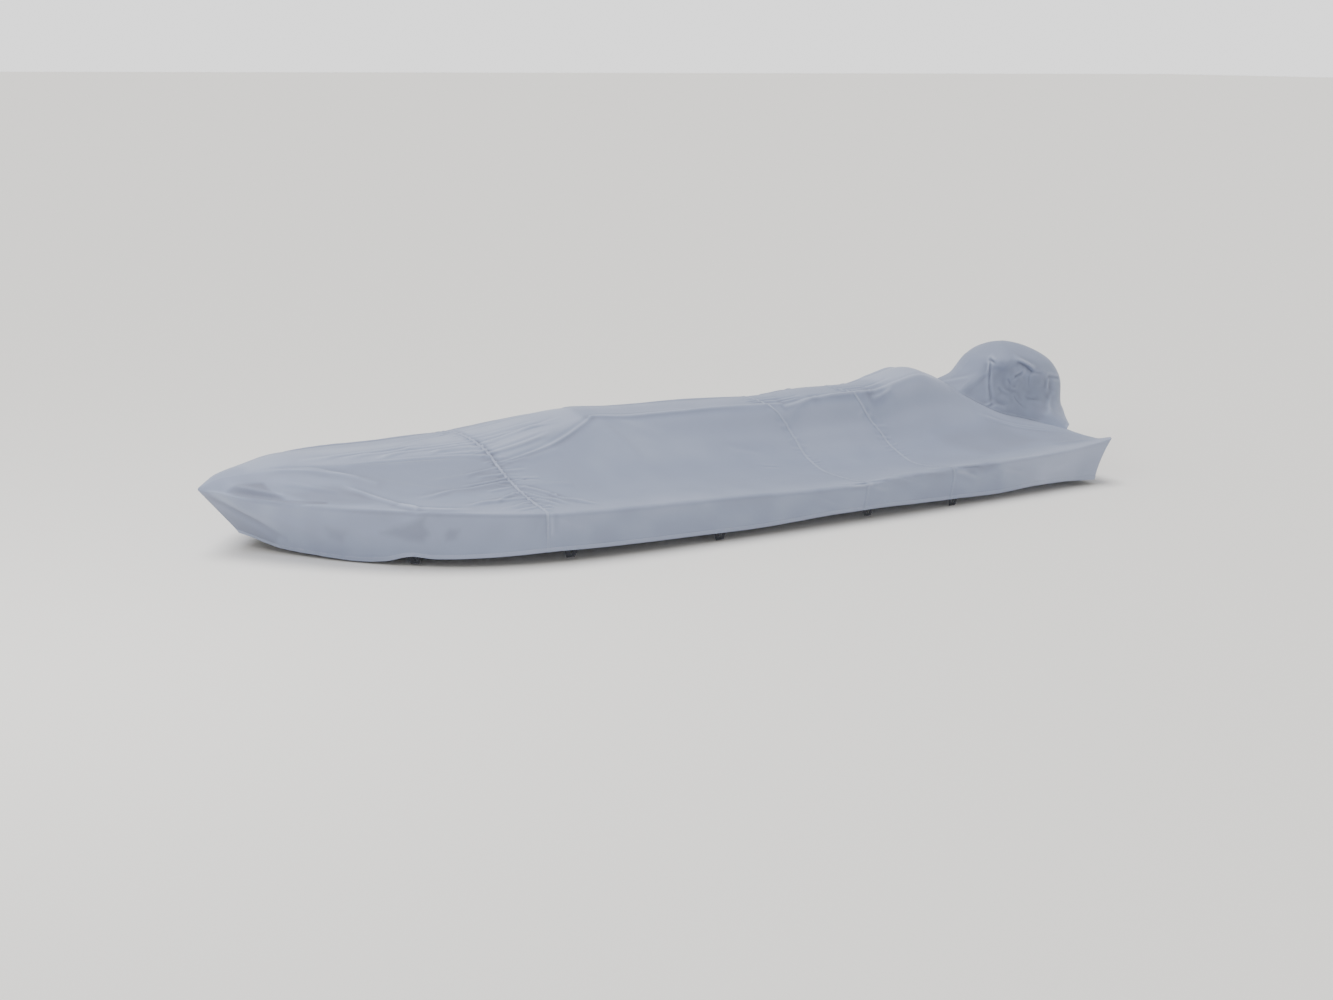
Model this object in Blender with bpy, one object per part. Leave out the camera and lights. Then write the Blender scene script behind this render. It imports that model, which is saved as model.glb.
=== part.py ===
"""Fitted boat cover of grey coated cloth, in the draped shape that it has when it is in use.

Four cross panels run from hem to hem and are folded down over a rim line. A hood is sewn over a
notch in the last panel, and ten webbing loops are sewn inside the hem, five on each side.

Stations are measured aft from the bow tip (x) and heights from the rim line at mid-length (z);
y is positive to starboard. The whole cover hangs from an empty, so that the world origin is on
the underside of the crown, where the cover is held up.
"""
import math

import bpy
import numpy as np

# ---------------------------------------------------------------- driving dimensions, in metres
LENGTH = 4.90                # bow tip to the top of the stern end
HALF_BEAM = 0.977            # half of the widest plan width
WIDEST = 1.866               # station of the widest width
BOW_FULLNESS = 2.728         # exponent of the bow's plan curve
STERN_HALF = 0.849           # half width at the stern end
CORNER = 0.02                # plan radius of the stern corners
ROLL = 0.020                 # radius with which the cloth rolls over the rim
TIGHT_ROLL = 0.35            # share of that radius left at the bow tip and the stern end
TIGHT_WITHIN = 0.30          # length over which the roll tightens at either end
BOW_RAKE = 0.83              # run aft for each metre of drop at the bow tip
BOW_RAKE_END = 1.7           # station where that rake has died out
BOW_RAKE_FADE = 1.6          # exponent with which it dies out
STERN_RAKE = 0.80            # run forward for each metre of drop at the stern end
STERN_CURVE = 1.3            # how fast that rake eases with the square of the drop
STERN_RAKE_START = 4.3       # station where the stern rake begins
SKIRT_TUCK = 0.030           # how far the hem sits inside the rim
TUCK_FROM_BOW = 0.5          # lengths over which the tuck grows at the two ends
TUCK_FROM_STERN = 0.3
CLOTH = 0.0026               # thickness of the cloth with its coating and turned edges
SEW_GAP = 0.0003             # between two panels that are sewn edge to edge
LAID_GAP = 0.0006            # between a piece and the cloth that it lies on

SEAMS = (1.36, 3.166, 3.738)          # stations of the three cross seams
NOTCH = 4.36                          # front edge of the notch under the hood
MOUNT_STATION = 2.45                  # where the crown is held up

# Cross sections of the deck cloth. The fractions are of the half width at that station.
SECTION_COLUMNS = ("x", "crown", "ridge_at", "ridge", "drop_at", "drop", "floor_at", "floor",
                   "rim")
SECTIONS = (
    (0.00, 0.103, 0.34, 0.103, 0.60, 0.103, 0.85, 0.103, 0.103),
    (0.10, 0.158, 0.34, 0.153, 0.60, 0.136, 0.85, 0.106, 0.095),
    (0.25, 0.190, 0.34, 0.177, 0.60, 0.148, 0.85, 0.100, 0.087),
    (0.42, 0.220, 0.32, 0.201, 0.58, 0.155, 0.85, 0.096, 0.083),
    (0.65, 0.214, 0.28, 0.199, 0.55, 0.148, 0.83, 0.092, 0.078),
    (0.95, 0.206, 0.27, 0.192, 0.52, 0.134, 0.80, 0.082, 0.066),
    (1.36, 0.230, 0.28, 0.205, 0.48, 0.132, 0.80, 0.062, 0.042),
    (1.70, 0.280, 0.20, 0.258, 0.40, 0.155, 0.76, 0.050, 0.029),
    (2.00, 0.312, 0.14, 0.294, 0.36, 0.160, 0.70, 0.040, 0.023),
    (2.25, 0.292, 0.14, 0.276, 0.34, 0.140, 0.68, 0.026, 0.017),
    (2.60, 0.284, 0.14, 0.272, 0.33, 0.108, 0.66, 0.004, 0.003),
    (2.95, 0.278, 0.14, 0.266, 0.32, 0.075, 0.62, -0.020, -0.009),
    (3.17, 0.285, 0.14, 0.262, 0.31, 0.055, 0.58, -0.032, -0.011),
    (3.35, 0.296, 0.14, 0.278, 0.30, 0.060, 0.57, -0.035, 0.003),
    (3.74, 0.300, 0.14, 0.278, 0.30, 0.055, 0.57, -0.036, 0.008),
    (3.92, 0.335, 0.14, 0.312, 0.30, 0.075, 0.57, -0.028, 0.006),
    (4.08, 0.368, 0.15, 0.342, 0.31, 0.105, 0.58, -0.015, 0.005),
    (4.20, 0.334, 0.16, 0.312, 0.33, 0.115, 0.60, -0.005, 0.006),
    (4.36, 0.248, 0.175, 0.226, 0.36, 0.108, 0.62, 0.004, 0.010),
    (4.48, 0.175, 0.23, 0.154, 0.40, 0.082, 0.64, 0.010, 0.013),
    (4.60, 0.118, 0.28, 0.098, 0.44, 0.058, 0.67, 0.013, 0.018),
    (4.75, 0.070, 0.33, 0.060, 0.50, 0.040, 0.71, 0.015, 0.027),
    (4.90, 0.026, 0.56, 0.020, 0.70, 0.012, 0.84, 0.012, 0.040),
)

# Height of the hem along the cover, by the station of the rim above it.
HEM_COLUMNS = ("x", "hem")
HEM = (
    (0.00, -0.128), (0.06, -0.152), (0.13, -0.182), (0.28, -0.194), (0.45, -0.202), (0.55, -0.193),
    (0.70, -0.160), (0.80, -0.169), (1.10, -0.163), (1.40, -0.154), (1.62, -0.158), (2.05, -0.164),
    (2.50, -0.170), (2.75, -0.164), (3.00, -0.157), (3.24, -0.157), (3.50, -0.164), (3.80, -0.171),
    (4.06, -0.178), (4.35, -0.169), (4.55, -0.172), (4.75, -0.180), (4.90, -0.186),
)

# Folds: soft ridges (height above 0) and troughs (below 0) along a line from one point (x0, y0)
# to another (x1, y1). On the deck the points are station and distance from the middle, port side
# negative.
FOLD_COLUMNS = ("x0", "y0", "x1", "y1", "width", "height")
DECK_FOLDS = (
    (0.16, -0.12, 0.60, -0.50, 0.050, -0.012),     # hollow inside the rim at the bow
    (0.55, -0.28, 1.20, -0.72, 0.045, 0.010),      # long crease that bends to the rim
    (0.40, -0.20, 1.34, -0.34, 0.030, 0.008),      # long creases below the crown
    (0.60, -0.10, 1.34, -0.20, 0.028, 0.007),
    (0.95, -0.47, 1.34, -0.44, 0.024, 0.007),      # gathers that run into the first seam
    (1.00, -0.62, 1.34, -0.56, 0.024, 0.008),
    (1.06, -0.76, 1.34, -0.69, 0.022, 0.008),
    (1.12, -0.88, 1.34, -0.82, 0.022, 0.007),
    (1.38, -0.27, 1.80, -0.20, 0.026, 0.008),      # gathers that leave it
    (1.38, -0.41, 1.74, -0.33, 0.024, 0.007),
    (1.38, -0.60, 1.66, -0.62, 0.024, 0.007),
    (1.38, -0.77, 1.64, -0.84, 0.022, 0.008),
    (1.99, -0.13, 2.18, -0.50, 0.060, 0.005),      # pull below the crown's port corner
    (2.00, -0.13, 3.05, -0.125, 0.030, 0.008),     # crisp near edge of the ridge
    (3.40, -0.13, 3.78, -0.13, 0.028, 0.008),
    (3.86, -0.14, 4.16, -0.15, 0.030, 0.008),
    (0.45, 0.24, 1.34, 0.32, 0.034, 0.007),        # starboard side, plainer
    (1.00, 0.66, 1.34, 0.58, 0.030, 0.007),
    (1.38, 0.60, 1.68, 0.64, 0.030, 0.007),
    (2.00, 0.13, 3.05, 0.125, 0.034, 0.006),
    (3.86, 0.14, 4.16, 0.15, 0.034, 0.006),
)

FOLDS_FROM_BOW = 0.15         # length over which the deck's folds grow behind the bow tip
FOLDS_FROM_RIM = 0.06         # the same beside the rim, as a share of the half width

# Folds of the skirt: the same columns, but in station and in drop below the rim, a table a side.
SKIRT_FOLDS_PORT = (
    (0.10, 0.02, 0.42, 0.22, 0.045, 0.008),
    (0.50, 0.16, 0.66, 0.10, 0.035, 0.009),
    (0.66, 0.10, 0.82, 0.15, 0.035, -0.007),
    (1.38, 0.02, 1.44, 0.16, 0.030, 0.008),
    (1.38, 0.02, 1.60, 0.10, 0.035, 0.007),
    (3.16, 0.03, 3.34, 0.12, 0.040, 0.007),
    (3.74, 0.02, 3.92, 0.13, 0.040, 0.008),
    (3.96, 0.02, 4.10, 0.10, 0.040, 0.006),
)
SKIRT_FOLDS_STARBOARD = (
    (0.50, 0.16, 0.70, 0.08, 0.040, 0.008),
    (1.36, 0.02, 1.48, 0.16, 0.040, 0.007),
    (3.20, 0.03, 3.36, 0.13, 0.045, 0.007),
)

# Stations of the grid rows of each panel; each loop sits in a strip of its own.
LOOP_STATIONS = (0.70, 1.475, 2.292, 3.19, 3.756)
LOOP_STRIP = 0.038
BOW_ROWS = (0.0, 0.03, 0.06, 0.10, 0.15, 0.21, 0.28, 0.36, 0.44, 0.52, 0.60, 0.80, 0.88,
            0.96, 1.04, 1.12, 1.19, 1.25, 1.30)
FORE_ROWS = (1.40, 1.57, 1.64, 1.72, 1.81, 1.90, 1.97, 2.03, 2.10, 2.18, 2.38, 2.48, 2.60,
             2.72, 2.84, 2.95, 3.03, 3.10)
MID_ROWS = (3.28, 3.35, 3.43, 3.52, 3.61, 3.68)
STERN_ROWS = (3.83, 3.88, 3.94, 4.00, 4.05, 4.10, 4.16, 4.23, 4.30, NOTCH, 4.42, 4.48, 4.54,
              4.60, 4.68, 4.76, 4.82, 4.88, 4.892, LENGTH)

# Grid columns of a section: steps from the hem to the roll, round the roll, and over the deck.
SKIRT_STEPS = (0.0, 0.18, 0.42, 0.70, 1.0)
ROLL_STEPS = 3
PLATEAU_STEPS = 2
FINE_SIDE = 19                        # columns from ridge to rim beside the first seam, port
COARSE_SIDE = 9                       # the same on starboard
PLAIN_SIDE = 9                        # the same on both sides of the other panels
NARROW_STEP = 0.06                    # first column beside the ridge, as a share of the side

# The hood: points that every meridian passes, by azimuth from straight ahead. Distances are
# from the middle of the hood in plan.
HOOD_MIDDLE = 4.78
HOOD_APEX = (4.75, 0.482)
HOOD_COLUMNS = ("azimuth", "waist_out", "waist", "shoulder_out", "shoulder")
HOOD = (
    (0.0, 0.345, 0.315, 0.205, 0.445),
    (30.0, 0.325, 0.300, 0.225, 0.428),
    (55.0, 0.270, 0.260, 0.235, 0.405),
    (90.0, 0.232, 0.230, 0.215, 0.380),
    (125.0, 0.275, 0.215, 0.245, 0.345),
    (150.0, 0.360, 0.215, 0.285, 0.345),
    (180.0, 0.400, 0.215, 0.300, 0.350),
)
# Free rear edge of the hood, from the top of the stern end to the middle line.
REAR_EDGE_COLUMNS = ("y", "x", "z")
REAR_EDGE = ((0.44, 4.935, 0.036), (0.35, 4.985, 0.060), (0.22, 5.068, 0.094), (0.11, 5.135, 0.104),
             (0.0, 5.160, 0.106))
# Folds of the hood: x is the arc round the hood from straight ahead, port negative, and y is the
# height.
HOOD_FOLDS = (
    (-0.16, 0.10, -0.15, 0.41, 0.034, -0.015),     # upright crease at the port bow quarter
    (-0.17, 0.25, -0.56, 0.20, 0.080, -0.024),     # hollow port wall
    (-0.15, 0.400, -0.44, 0.370, 0.036, 0.011),    # dome's edge, which hangs over that wall
    (-0.40, 0.375, -0.62, 0.270, 0.036, 0.010),
    (-0.28, 0.390, -0.44, 0.290, 0.030, -0.011),   # crumple in the middle of the wall
    (0.17, 0.26, 0.52, 0.24, 0.080, -0.010),       # starboard wall, plainer
)
HOOD_RADIUS = 0.26                    # at which the arc is measured
HOOD_FOLDS_FROM_FOOT = 0.12           # share of a meridian over which its folds grow
HOOD_STEPS = 13                       # rings from the base to the apex
HOOD_SEAT = 0.008                     # how far outside the notch the hood's base stands

# Webbing loops: a flat eye, wide at the hem and narrow at its foot.
WEBBING = 0.0025
LOOP_TOP = 0.020                      # length that is sewn inside the hem
LOOP_DROP = 0.040                     # length that shows below the hem
LOOP_OUTLINE = ((-0.036, LOOP_TOP), (-0.034, 0.0), (-0.021, -LOOP_DROP), (0.021, -LOOP_DROP),
                (0.034, 0.0), (0.036, LOOP_TOP))
LOOP_EYE = ((-0.013, 0.010), (-0.012, 0.0), (-0.007, -0.024), (0.007, -0.024),
            (0.012, 0.0), (0.013, 0.010))


# ---------------------------------------------------------------- curves and tables
def smooth_through(knots, values, at):
    """Monotone cubic curve through the values, which never swings past them."""
    knots = np.asarray(knots, float)
    values = np.asarray(values, float)
    at = np.asarray(at, float)
    step = np.diff(knots)
    slope = np.diff(values) / step
    tangent = np.zeros_like(values)
    for i in range(1, len(knots) - 1):
        if slope[i - 1] * slope[i] > 0.0:
            before = 2.0 * step[i] + step[i - 1]
            after = step[i] + 2.0 * step[i - 1]
            tangent[i] = (before + after) / (before / slope[i - 1] + after / slope[i])
    tangent[0] = slope[0]
    tangent[-1] = slope[-1]
    k = np.clip(np.searchsorted(knots, at) - 1, 0, len(knots) - 2)
    t = (at - knots[k]) / step[k]
    return ((1 + 2 * t) * (1 - t) ** 2 * values[k] + t * (1 - t) ** 2 * step[k] * tangent[k]
            + t * t * (3 - 2 * t) * values[k + 1] + t * t * (t - 1) * step[k] * tangent[k + 1])


def read_table(rows, columns, name, at):
    """Smooth value of a named column, with the first column as the place along the table."""
    table = np.array(rows)
    return smooth_through(table[:, 0], table[:, columns.index(name)], at)


def section_value(name, x):
    return float(read_table(SECTIONS, SECTION_COLUMNS, name, x))


def hem_height(x):
    return float(read_table(HEM, HEM_COLUMNS, "hem", x))


def half_width(x):
    """Half of the plan width at the rim, with a full bow and rounded stern corners."""
    bow = HALF_BEAM * (1.0 - max(0.0, 1.0 - x / WIDEST) ** BOW_FULLNESS)
    aft = max(0.0, (x - WIDEST) / (LENGTH - WIDEST))
    into_corner = max(0.0, x - (LENGTH - CORNER))
    corner = CORNER - math.sqrt(max(0.0, CORNER ** 2 - into_corner ** 2))
    return bow - (HALF_BEAM - STERN_HALF) * aft ** 2 - corner


def outward(x, side):
    """Plan direction that points out of the cover at a rim point; side is -1 or 1."""
    if x <= 0.0:
        return np.array([-1.0, 0.0, 0.0])
    if x >= LENGTH:
        return np.array([1.0, 0.0, 0.0])
    reach = 0.002
    low = max(0.0, x - reach)
    high = min(LENGTH, x + reach)
    slope = (half_width(high) - half_width(low)) / (high - low)
    direction = np.array([-slope, side, 0.0])
    return direction / np.linalg.norm(direction)


def roll_radius(x):
    """Radius of the roll over the rim, tighter at the bow tip and at the stern end."""
    near_end = min(1.0, x / TIGHT_WITHIN, (LENGTH - x) / TIGHT_WITHIN)
    return ROLL * (TIGHT_ROLL + (1.0 - TIGHT_ROLL) * max(0.0, near_end))


def lean(x, drop):
    """Run aft at a drop below the rim: the bow leans aft and the stern end leans forward."""
    bow = BOW_RAKE * max(0.0, 1.0 - x / BOW_RAKE_END) ** BOW_RAKE_FADE
    stern = max(0.0, (x - STERN_RAKE_START) / (LENGTH - STERN_RAKE_START)) ** 2
    return bow * drop - stern * (STERN_RAKE * drop - STERN_CURVE * drop ** 2)


def fold_height(folds, u, v):
    """Sum of the folds of a table at one point of the cloth; each fades out at its two ends."""
    total = 0.0
    for row in folds:
        fold = dict(zip(FOLD_COLUMNS, row))
        run = np.array([fold["x1"] - fold["x0"], fold["y1"] - fold["y0"]])
        here = np.array([u - fold["x0"], v - fold["y0"]])
        length = float(np.hypot(*run))
        along = float(np.dot(here, run)) / length ** 2
        if 0.0 <= along <= 1.0:
            across = abs(here[0] * run[1] - here[1] * run[0]) / length
            fade = 1.0 - (2.0 * along - 1.0) ** 4
            total += fold["height"] * fade * math.exp(-(across / fold["width"]) ** 2)
    return total


# ---------------------------------------------------------------- the cover's surface
def deck_point(x, side, fraction):
    """Point of the deck cloth; fraction runs from 0 on the middle line to 1 at the roll."""
    names = ("ridge_at", "drop_at", "floor_at")
    at = [0.0] + [section_value(name, x) for name in names] + [1.0]
    heights = [section_value(name, x) for name in ("crown", "ridge", "drop", "floor", "rim")]
    knots = [-at[1]] + at
    z = float(smooth_through(knots, [heights[1]] + heights, fraction))
    half = half_width(x)
    roll = roll_radius(x)
    normal = outward(x, side)
    edge = np.array([x - normal[0] * roll, side * half - normal[1] * roll])
    if half < 2.0 * roll:
        share = half / (2.0 * roll)
        edge = np.array([x + roll, 0.0]) * (1.0 - share) + edge * share
    y = edge[1] * fraction
    fade = min(1.0, x / FOLDS_FROM_BOW) * min(1.0, (1.0 - fraction) / FOLDS_FROM_RIM)
    z += fade * fold_height(DECK_FOLDS, x, y)
    return np.array([x + (edge[0] - x) * fraction ** 2, y, z])


def skirt_point(x, side, drop, folds, normal):
    """Point of the skirt, a given drop below the rim."""
    half = half_width(x)
    depth = section_value("rim", x) - hem_height(x)
    share = drop / depth
    inward = SKIRT_TUCK * share * min(1.0, x / TUCK_FROM_BOW, (LENGTH - x) / TUCK_FROM_STERN)
    bulge = fold_height(folds, x, drop) * math.sin(math.pi * min(1.0, max(0.0, share))) ** 0.5
    corner = np.array([x, side * half, section_value("rim", x) - drop])
    return corner + np.array([lean(x, drop), 0.0, 0.0]) + normal * (bulge - inward)


def band(x, side, folds, normal, edge):
    """Skirt and roll at one place of the rim, from the hem up to the edge of the deck."""
    depth = section_value("rim", x) - hem_height(x)
    points = []
    for step in SKIRT_STEPS:
        drop = depth + (roll_radius(x) - depth) * step
        points.append(skirt_point(x, side, drop, folds, normal))
    start = points[-1]
    for k in range(1, ROLL_STEPS):
        turn = 0.5 * math.pi * k / ROLL_STEPS
        low = np.array([edge[0], edge[1], start[2]])
        points.append(low + (start - low) * math.cos(turn)
                      + np.array([0.0, 0.0, edge[2] - start[2]]) * math.sin(turn))
    return points


def side_fractions(x, count):
    """Deck fractions from the roll to the ridge, the last step beside the ridge a narrow one."""
    ridge = section_value("ridge_at", x)
    inner = ridge + NARROW_STEP * (1.0 - ridge)
    even = [1.0 + (inner - 1.0) * k / (count - 1) for k in range(count)]
    return even + [ridge]


def section(x, port_count, starboard_count):
    """One hem-to-hem row of points, port to starboard."""
    port_deck = [deck_point(x, -1, f) for f in side_fractions(x, port_count)]
    starboard_deck = [deck_point(x, 1, f) for f in side_fractions(x, starboard_count)]
    ridge = section_value("ridge_at", x)
    plateau = [deck_point(x, -1, ridge * (1.0 - k / PLATEAU_STEPS)) for k in range(1, PLATEAU_STEPS)]
    plateau += [deck_point(x, -1, 0.0)]
    plateau += [deck_point(x, 1, ridge * k / PLATEAU_STEPS) for k in range(1, PLATEAU_STEPS)]
    port = band(x, -1, SKIRT_FOLDS_PORT, outward(x, -1), port_deck[0])
    starboard = band(x, 1, SKIRT_FOLDS_STARBOARD, outward(x, 1), starboard_deck[0])
    return port + port_deck + plateau + starboard_deck[::-1] + starboard[::-1]


# ---------------------------------------------------------------- turning points into shells
SHARPEST = 0.5                # least cosine between a point's normal and its faces that counts
NO_AREA = 1e-12


class Sheet:
    """Outer surface of a piece of cloth, collected as points and triangles."""

    def __init__(self):
        self.points = []
        self.triangles = []
        self.upright = set()
        self.inner = {}

    def add(self, point, upright=False, inner=None):
        """Keep a point; an upright one gets its thickness within its own station plane."""
        self.points.append(np.asarray(point, float))
        index = len(self.points) - 1
        if upright:
            self.upright.add(index)
        if inner is not None:
            self.inner[index] = inner
        return index

    def quad(self, a, b, c, d):
        """Two triangles on the shorter diagonal, leaving out what has no area."""
        across = np.linalg.norm(self.points[a] - self.points[c])
        other = np.linalg.norm(self.points[b] - self.points[d])
        halves = ((a, b, c), (a, c, d)) if across <= other else ((a, b, d), (b, c, d))
        self.triangles += [t for t in halves if len(set(t)) == 3]

    def fill(self, grid, skip=lambda i, j: False):
        for i in range(len(grid) - 1):
            for j in range(len(grid[0]) - 1):
                if not skip(i, j):
                    self.quad(grid[i][j], grid[i + 1][j], grid[i + 1][j + 1], grid[i][j + 1])

    def inner_points(self, thickness):
        """The points moved in by an even thickness along the mean of their faces' normals."""
        points = np.array(self.points)
        triangles = np.array(self.triangles)
        a, b, c = (points[triangles[:, k]] for k in range(3))
        face = np.cross(b - a, c - a)
        face /= np.maximum(np.linalg.norm(face, axis=1, keepdims=True), NO_AREA)
        normals = np.zeros_like(points)
        for k in range(3):
            here = points[triangles[:, k]]
            one = points[triangles[:, (k + 1) % 3]] - here
            two = points[triangles[:, (k + 2) % 3]] - here
            cosine = (one * two).sum(1) / (np.linalg.norm(one, axis=1) * np.linalg.norm(two, axis=1))
            angle = np.arccos(np.clip(cosine, -1.0, 1.0))
            np.add.at(normals, triangles[:, k], face * angle[:, None])
        for i in self.upright:
            normals[i, 0] = 0.0
        normals /= np.maximum(np.linalg.norm(normals, axis=1, keepdims=True), NO_AREA)
        even = np.ones(len(points))
        for k in range(3):
            spread = np.clip((normals[triangles[:, k]] * face).sum(1), SHARPEST, 1.0)
            np.minimum.at(even, triangles[:, k], spread)
        inner = points - normals * (thickness / even)[:, None]
        for index, point in self.inner.items():
            inner[index] = point
        return inner

    def shell(self, thickness):
        """Closed solid: the sheet, its inner side, and a rim along every free edge."""
        inner = self.inner_points(thickness)
        count = len(self.points)
        faces = [tuple(t) for t in self.triangles]
        faces += [(c + count, b + count, a + count) for a, b, c in self.triangles]
        edges = {(t[k], t[(k + 1) % 3]) for t in self.triangles for k in range(3)}
        for a, b in sorted(edges):
            if (b, a) not in edges:
                faces.append((b, a, a + count))
                faces.append((b, a + count, b + count))
        return np.vstack([np.array(self.points), inner]), faces


def used_only(points, faces):
    """The same mesh without the points that no face uses."""
    used = sorted({i for face in faces for i in face})
    place = {old: new for new, old in enumerate(used)}
    return points[used], [tuple(place[i] for i in face) for face in faces]


def cloth_material():
    material = bpy.data.materials.new("grey_coated_cloth")
    material.use_nodes = True
    shader = material.node_tree.nodes["Principled BSDF"]
    shader.inputs["Base Color"].default_value = (0.34, 0.37, 0.44, 1.0)
    shader.inputs["Roughness"].default_value = 0.75
    shader.inputs["Metallic"].default_value = 0.0
    return material


def webbing_material():
    material = bpy.data.materials.new("dark_webbing")
    material.use_nodes = True
    shader = material.node_tree.nodes["Principled BSDF"]
    shader.inputs["Base Color"].default_value = (0.012, 0.014, 0.022, 1.0)
    shader.inputs["Roughness"].default_value = 0.8
    shader.inputs["Metallic"].default_value = 0.0
    return material


def add_object(name, points, faces, material, parent):
    points, faces = used_only(np.asarray(points), faces)
    mesh = bpy.data.meshes.new(name)
    mesh.from_pydata([tuple(p) for p in points], [], faces)
    mesh.materials.append(material)
    mesh.shade_smooth()
    mesh.set_sharp_from_angle(angle=math.radians(50.0))
    mesh.update()
    obj = bpy.data.objects.new(name, mesh)
    obj.parent = parent
    bpy.context.collection.objects.link(obj)
    return obj


# ---------------------------------------------------------------- the panels
def with_loop_strips(rows, first, last):
    """The panel's stations with its ends and the two edges of each loop's strip put in."""
    stations = {round(x, 6) for x in rows} | {first, last}
    for x in LOOP_STATIONS:
        for edge in (x - LOOP_STRIP, x + LOOP_STRIP):
            if first < edge < last:
                stations.add(round(edge, 6))
    return sorted(stations)


def panel_sheet(stations, port_count, starboard_count, seams):
    """Grid of a cross panel; the rows at its seams stay upright so that two panels can meet."""
    sheet = Sheet()
    grid = []
    for x in stations:
        upright = x in seams
        grid.append([sheet.add(p, upright) for p in section(x, port_count, starboard_count)])
    return sheet, grid


def band_length():
    return len(SKIRT_STEPS) + ROLL_STEPS - 1


def bow_panel():
    """First panel: its front row closes on the middle line, and its deck runs to the tip."""
    last = SEAMS[0] - 0.5 * SEW_GAP
    stations = with_loop_strips(BOW_ROWS, 0.0, last)
    sheet, grid = panel_sheet(stations, FINE_SIDE, COARSE_SIDE, (last,))
    middle = np.array([1.0, 0.0, 1.0])
    edge = band_length()
    columns = len(grid[0])
    tip = grid[0][edge]
    for j in range(columns):
        mirrored = min(j, columns - 1 - j)
        sheet.points[grid[0][mirrored]] = sheet.points[grid[0][mirrored]] * middle
        grid[0][j] = grid[0][mirrored] if mirrored < edge else tip
    sheet.fill(grid)
    return sheet


def plain_panel(rows, first, last, port_count, starboard_count):
    stations = with_loop_strips(rows, first, last)
    sheet, grid = panel_sheet(stations, port_count, starboard_count, (first, last))
    sheet.fill(grid)
    return sheet


def stern_end_point(y, side, step, edge):
    """Point of the cloth that falls over the stern end, on the same steps as the skirt."""
    roll = roll_radius(LENGTH)
    depth = edge[2] - hem_height(LENGTH)
    top = np.array([LENGTH + lean(LENGTH, roll), y, edge[2] - roll])
    if step < len(SKIRT_STEPS):
        drop = depth + (roll - depth) * SKIRT_STEPS[step]
        return np.array([LENGTH + lean(LENGTH, drop), y, edge[2] - drop])
    turn = 0.5 * math.pi * (step - len(SKIRT_STEPS) + 1) / ROLL_STEPS
    low = np.array([edge[0], y, edge[2] - roll])
    return low + (top - low) * math.cos(turn) + np.array([0.0, 0.0, roll]) * math.sin(turn)


def stern_panel():
    """Last panel: its deck is notched under the hood, and it folds down over the stern end."""
    first = SEAMS[2] + 0.5 * SEW_GAP
    stations = with_loop_strips(STERN_ROWS, first, LENGTH)
    sheet, grid = panel_sheet(stations, PLAIN_SIDE, PLAIN_SIDE, (first,))
    edge = band_length()
    ridge_port = edge + PLAIN_SIDE
    ridge_starboard = ridge_port + 2 * PLATEAU_STEPS
    notch_row = stations.index(NOTCH)
    sheet.fill(grid, skip=lambda i, j: i >= notch_row and ridge_port <= j < ridge_starboard)
    for side, columns in ((-1, range(edge, ridge_port + 1)),
                          (1, range(ridge_starboard, ridge_starboard + PLAIN_SIDE + 1))):
        flap = []
        for j in columns:
            top = grid[-1][j]
            corner = edge if side < 0 else columns[-1]
            if j == corner:
                column = [grid[-1][j + side * k] for k in range(edge + 1)]
            else:
                point = sheet.points[top]
                column = [top] + [sheet.add(stern_end_point(point[1], side, edge - k, point))
                                  for k in range(1, edge + 1)]
            flap.append(column)
        for m in range(len(flap) - 1):
            for k in range(edge):
                sheet.quad(flap[m][k], flap[m][k + 1], flap[m + 1][k + 1], flap[m + 1][k])
    return sheet, grid, stations


# ---------------------------------------------------------------- the stern hood
def hood_base(sheet, grid, stations):
    """Ring round the hood's foot: along the port edge of the notch, across, back and round the
    rear. Each place has an outer point and, where the foot stands on the deck, an inner one."""
    edge = band_length()
    ridge_port = edge + PLAIN_SIDE
    ridge_starboard = ridge_port + 2 * PLATEAU_STEPS
    notch_row = stations.index(NOTCH)
    raise_by = np.array([0.0, 0.0, LAID_GAP])

    def beside(i, j, toward):
        here = sheet.points[grid[i][j]]
        there = sheet.points[grid[toward[0]][toward[1]]]
        away = (there - here) / np.linalg.norm(there - here)
        return (here + away * HOOD_SEAT + raise_by, here + away * (HOOD_SEAT - CLOTH) + raise_by)

    ring = []
    last_row = len(stations) - 2
    for i in range(last_row, notch_row, -1):
        ring.append(beside(i, ridge_port, (i, ridge_port - 1)))
    for j in range(ridge_port, ridge_starboard + 1):
        ring.append(beside(notch_row, j, (notch_row - 1, j)))
    for i in range(notch_row + 1, last_row + 1):
        ring.append(beside(i, ridge_starboard, (i, ridge_starboard + 1)))
    places = [dict(zip(REAR_EDGE_COLUMNS, row)) for row in REAR_EDGE]
    rear = [np.array([place["x"], place["y"], place["z"]]) for place in places]
    rear += [p * np.array([1.0, -1.0, 1.0]) for p in rear[-2::-1]]
    return ring + [(point, None) for point in rear]


def hood_value(name, azimuth):
    return float(read_table(HOOD, HOOD_COLUMNS, name, azimuth))


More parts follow.
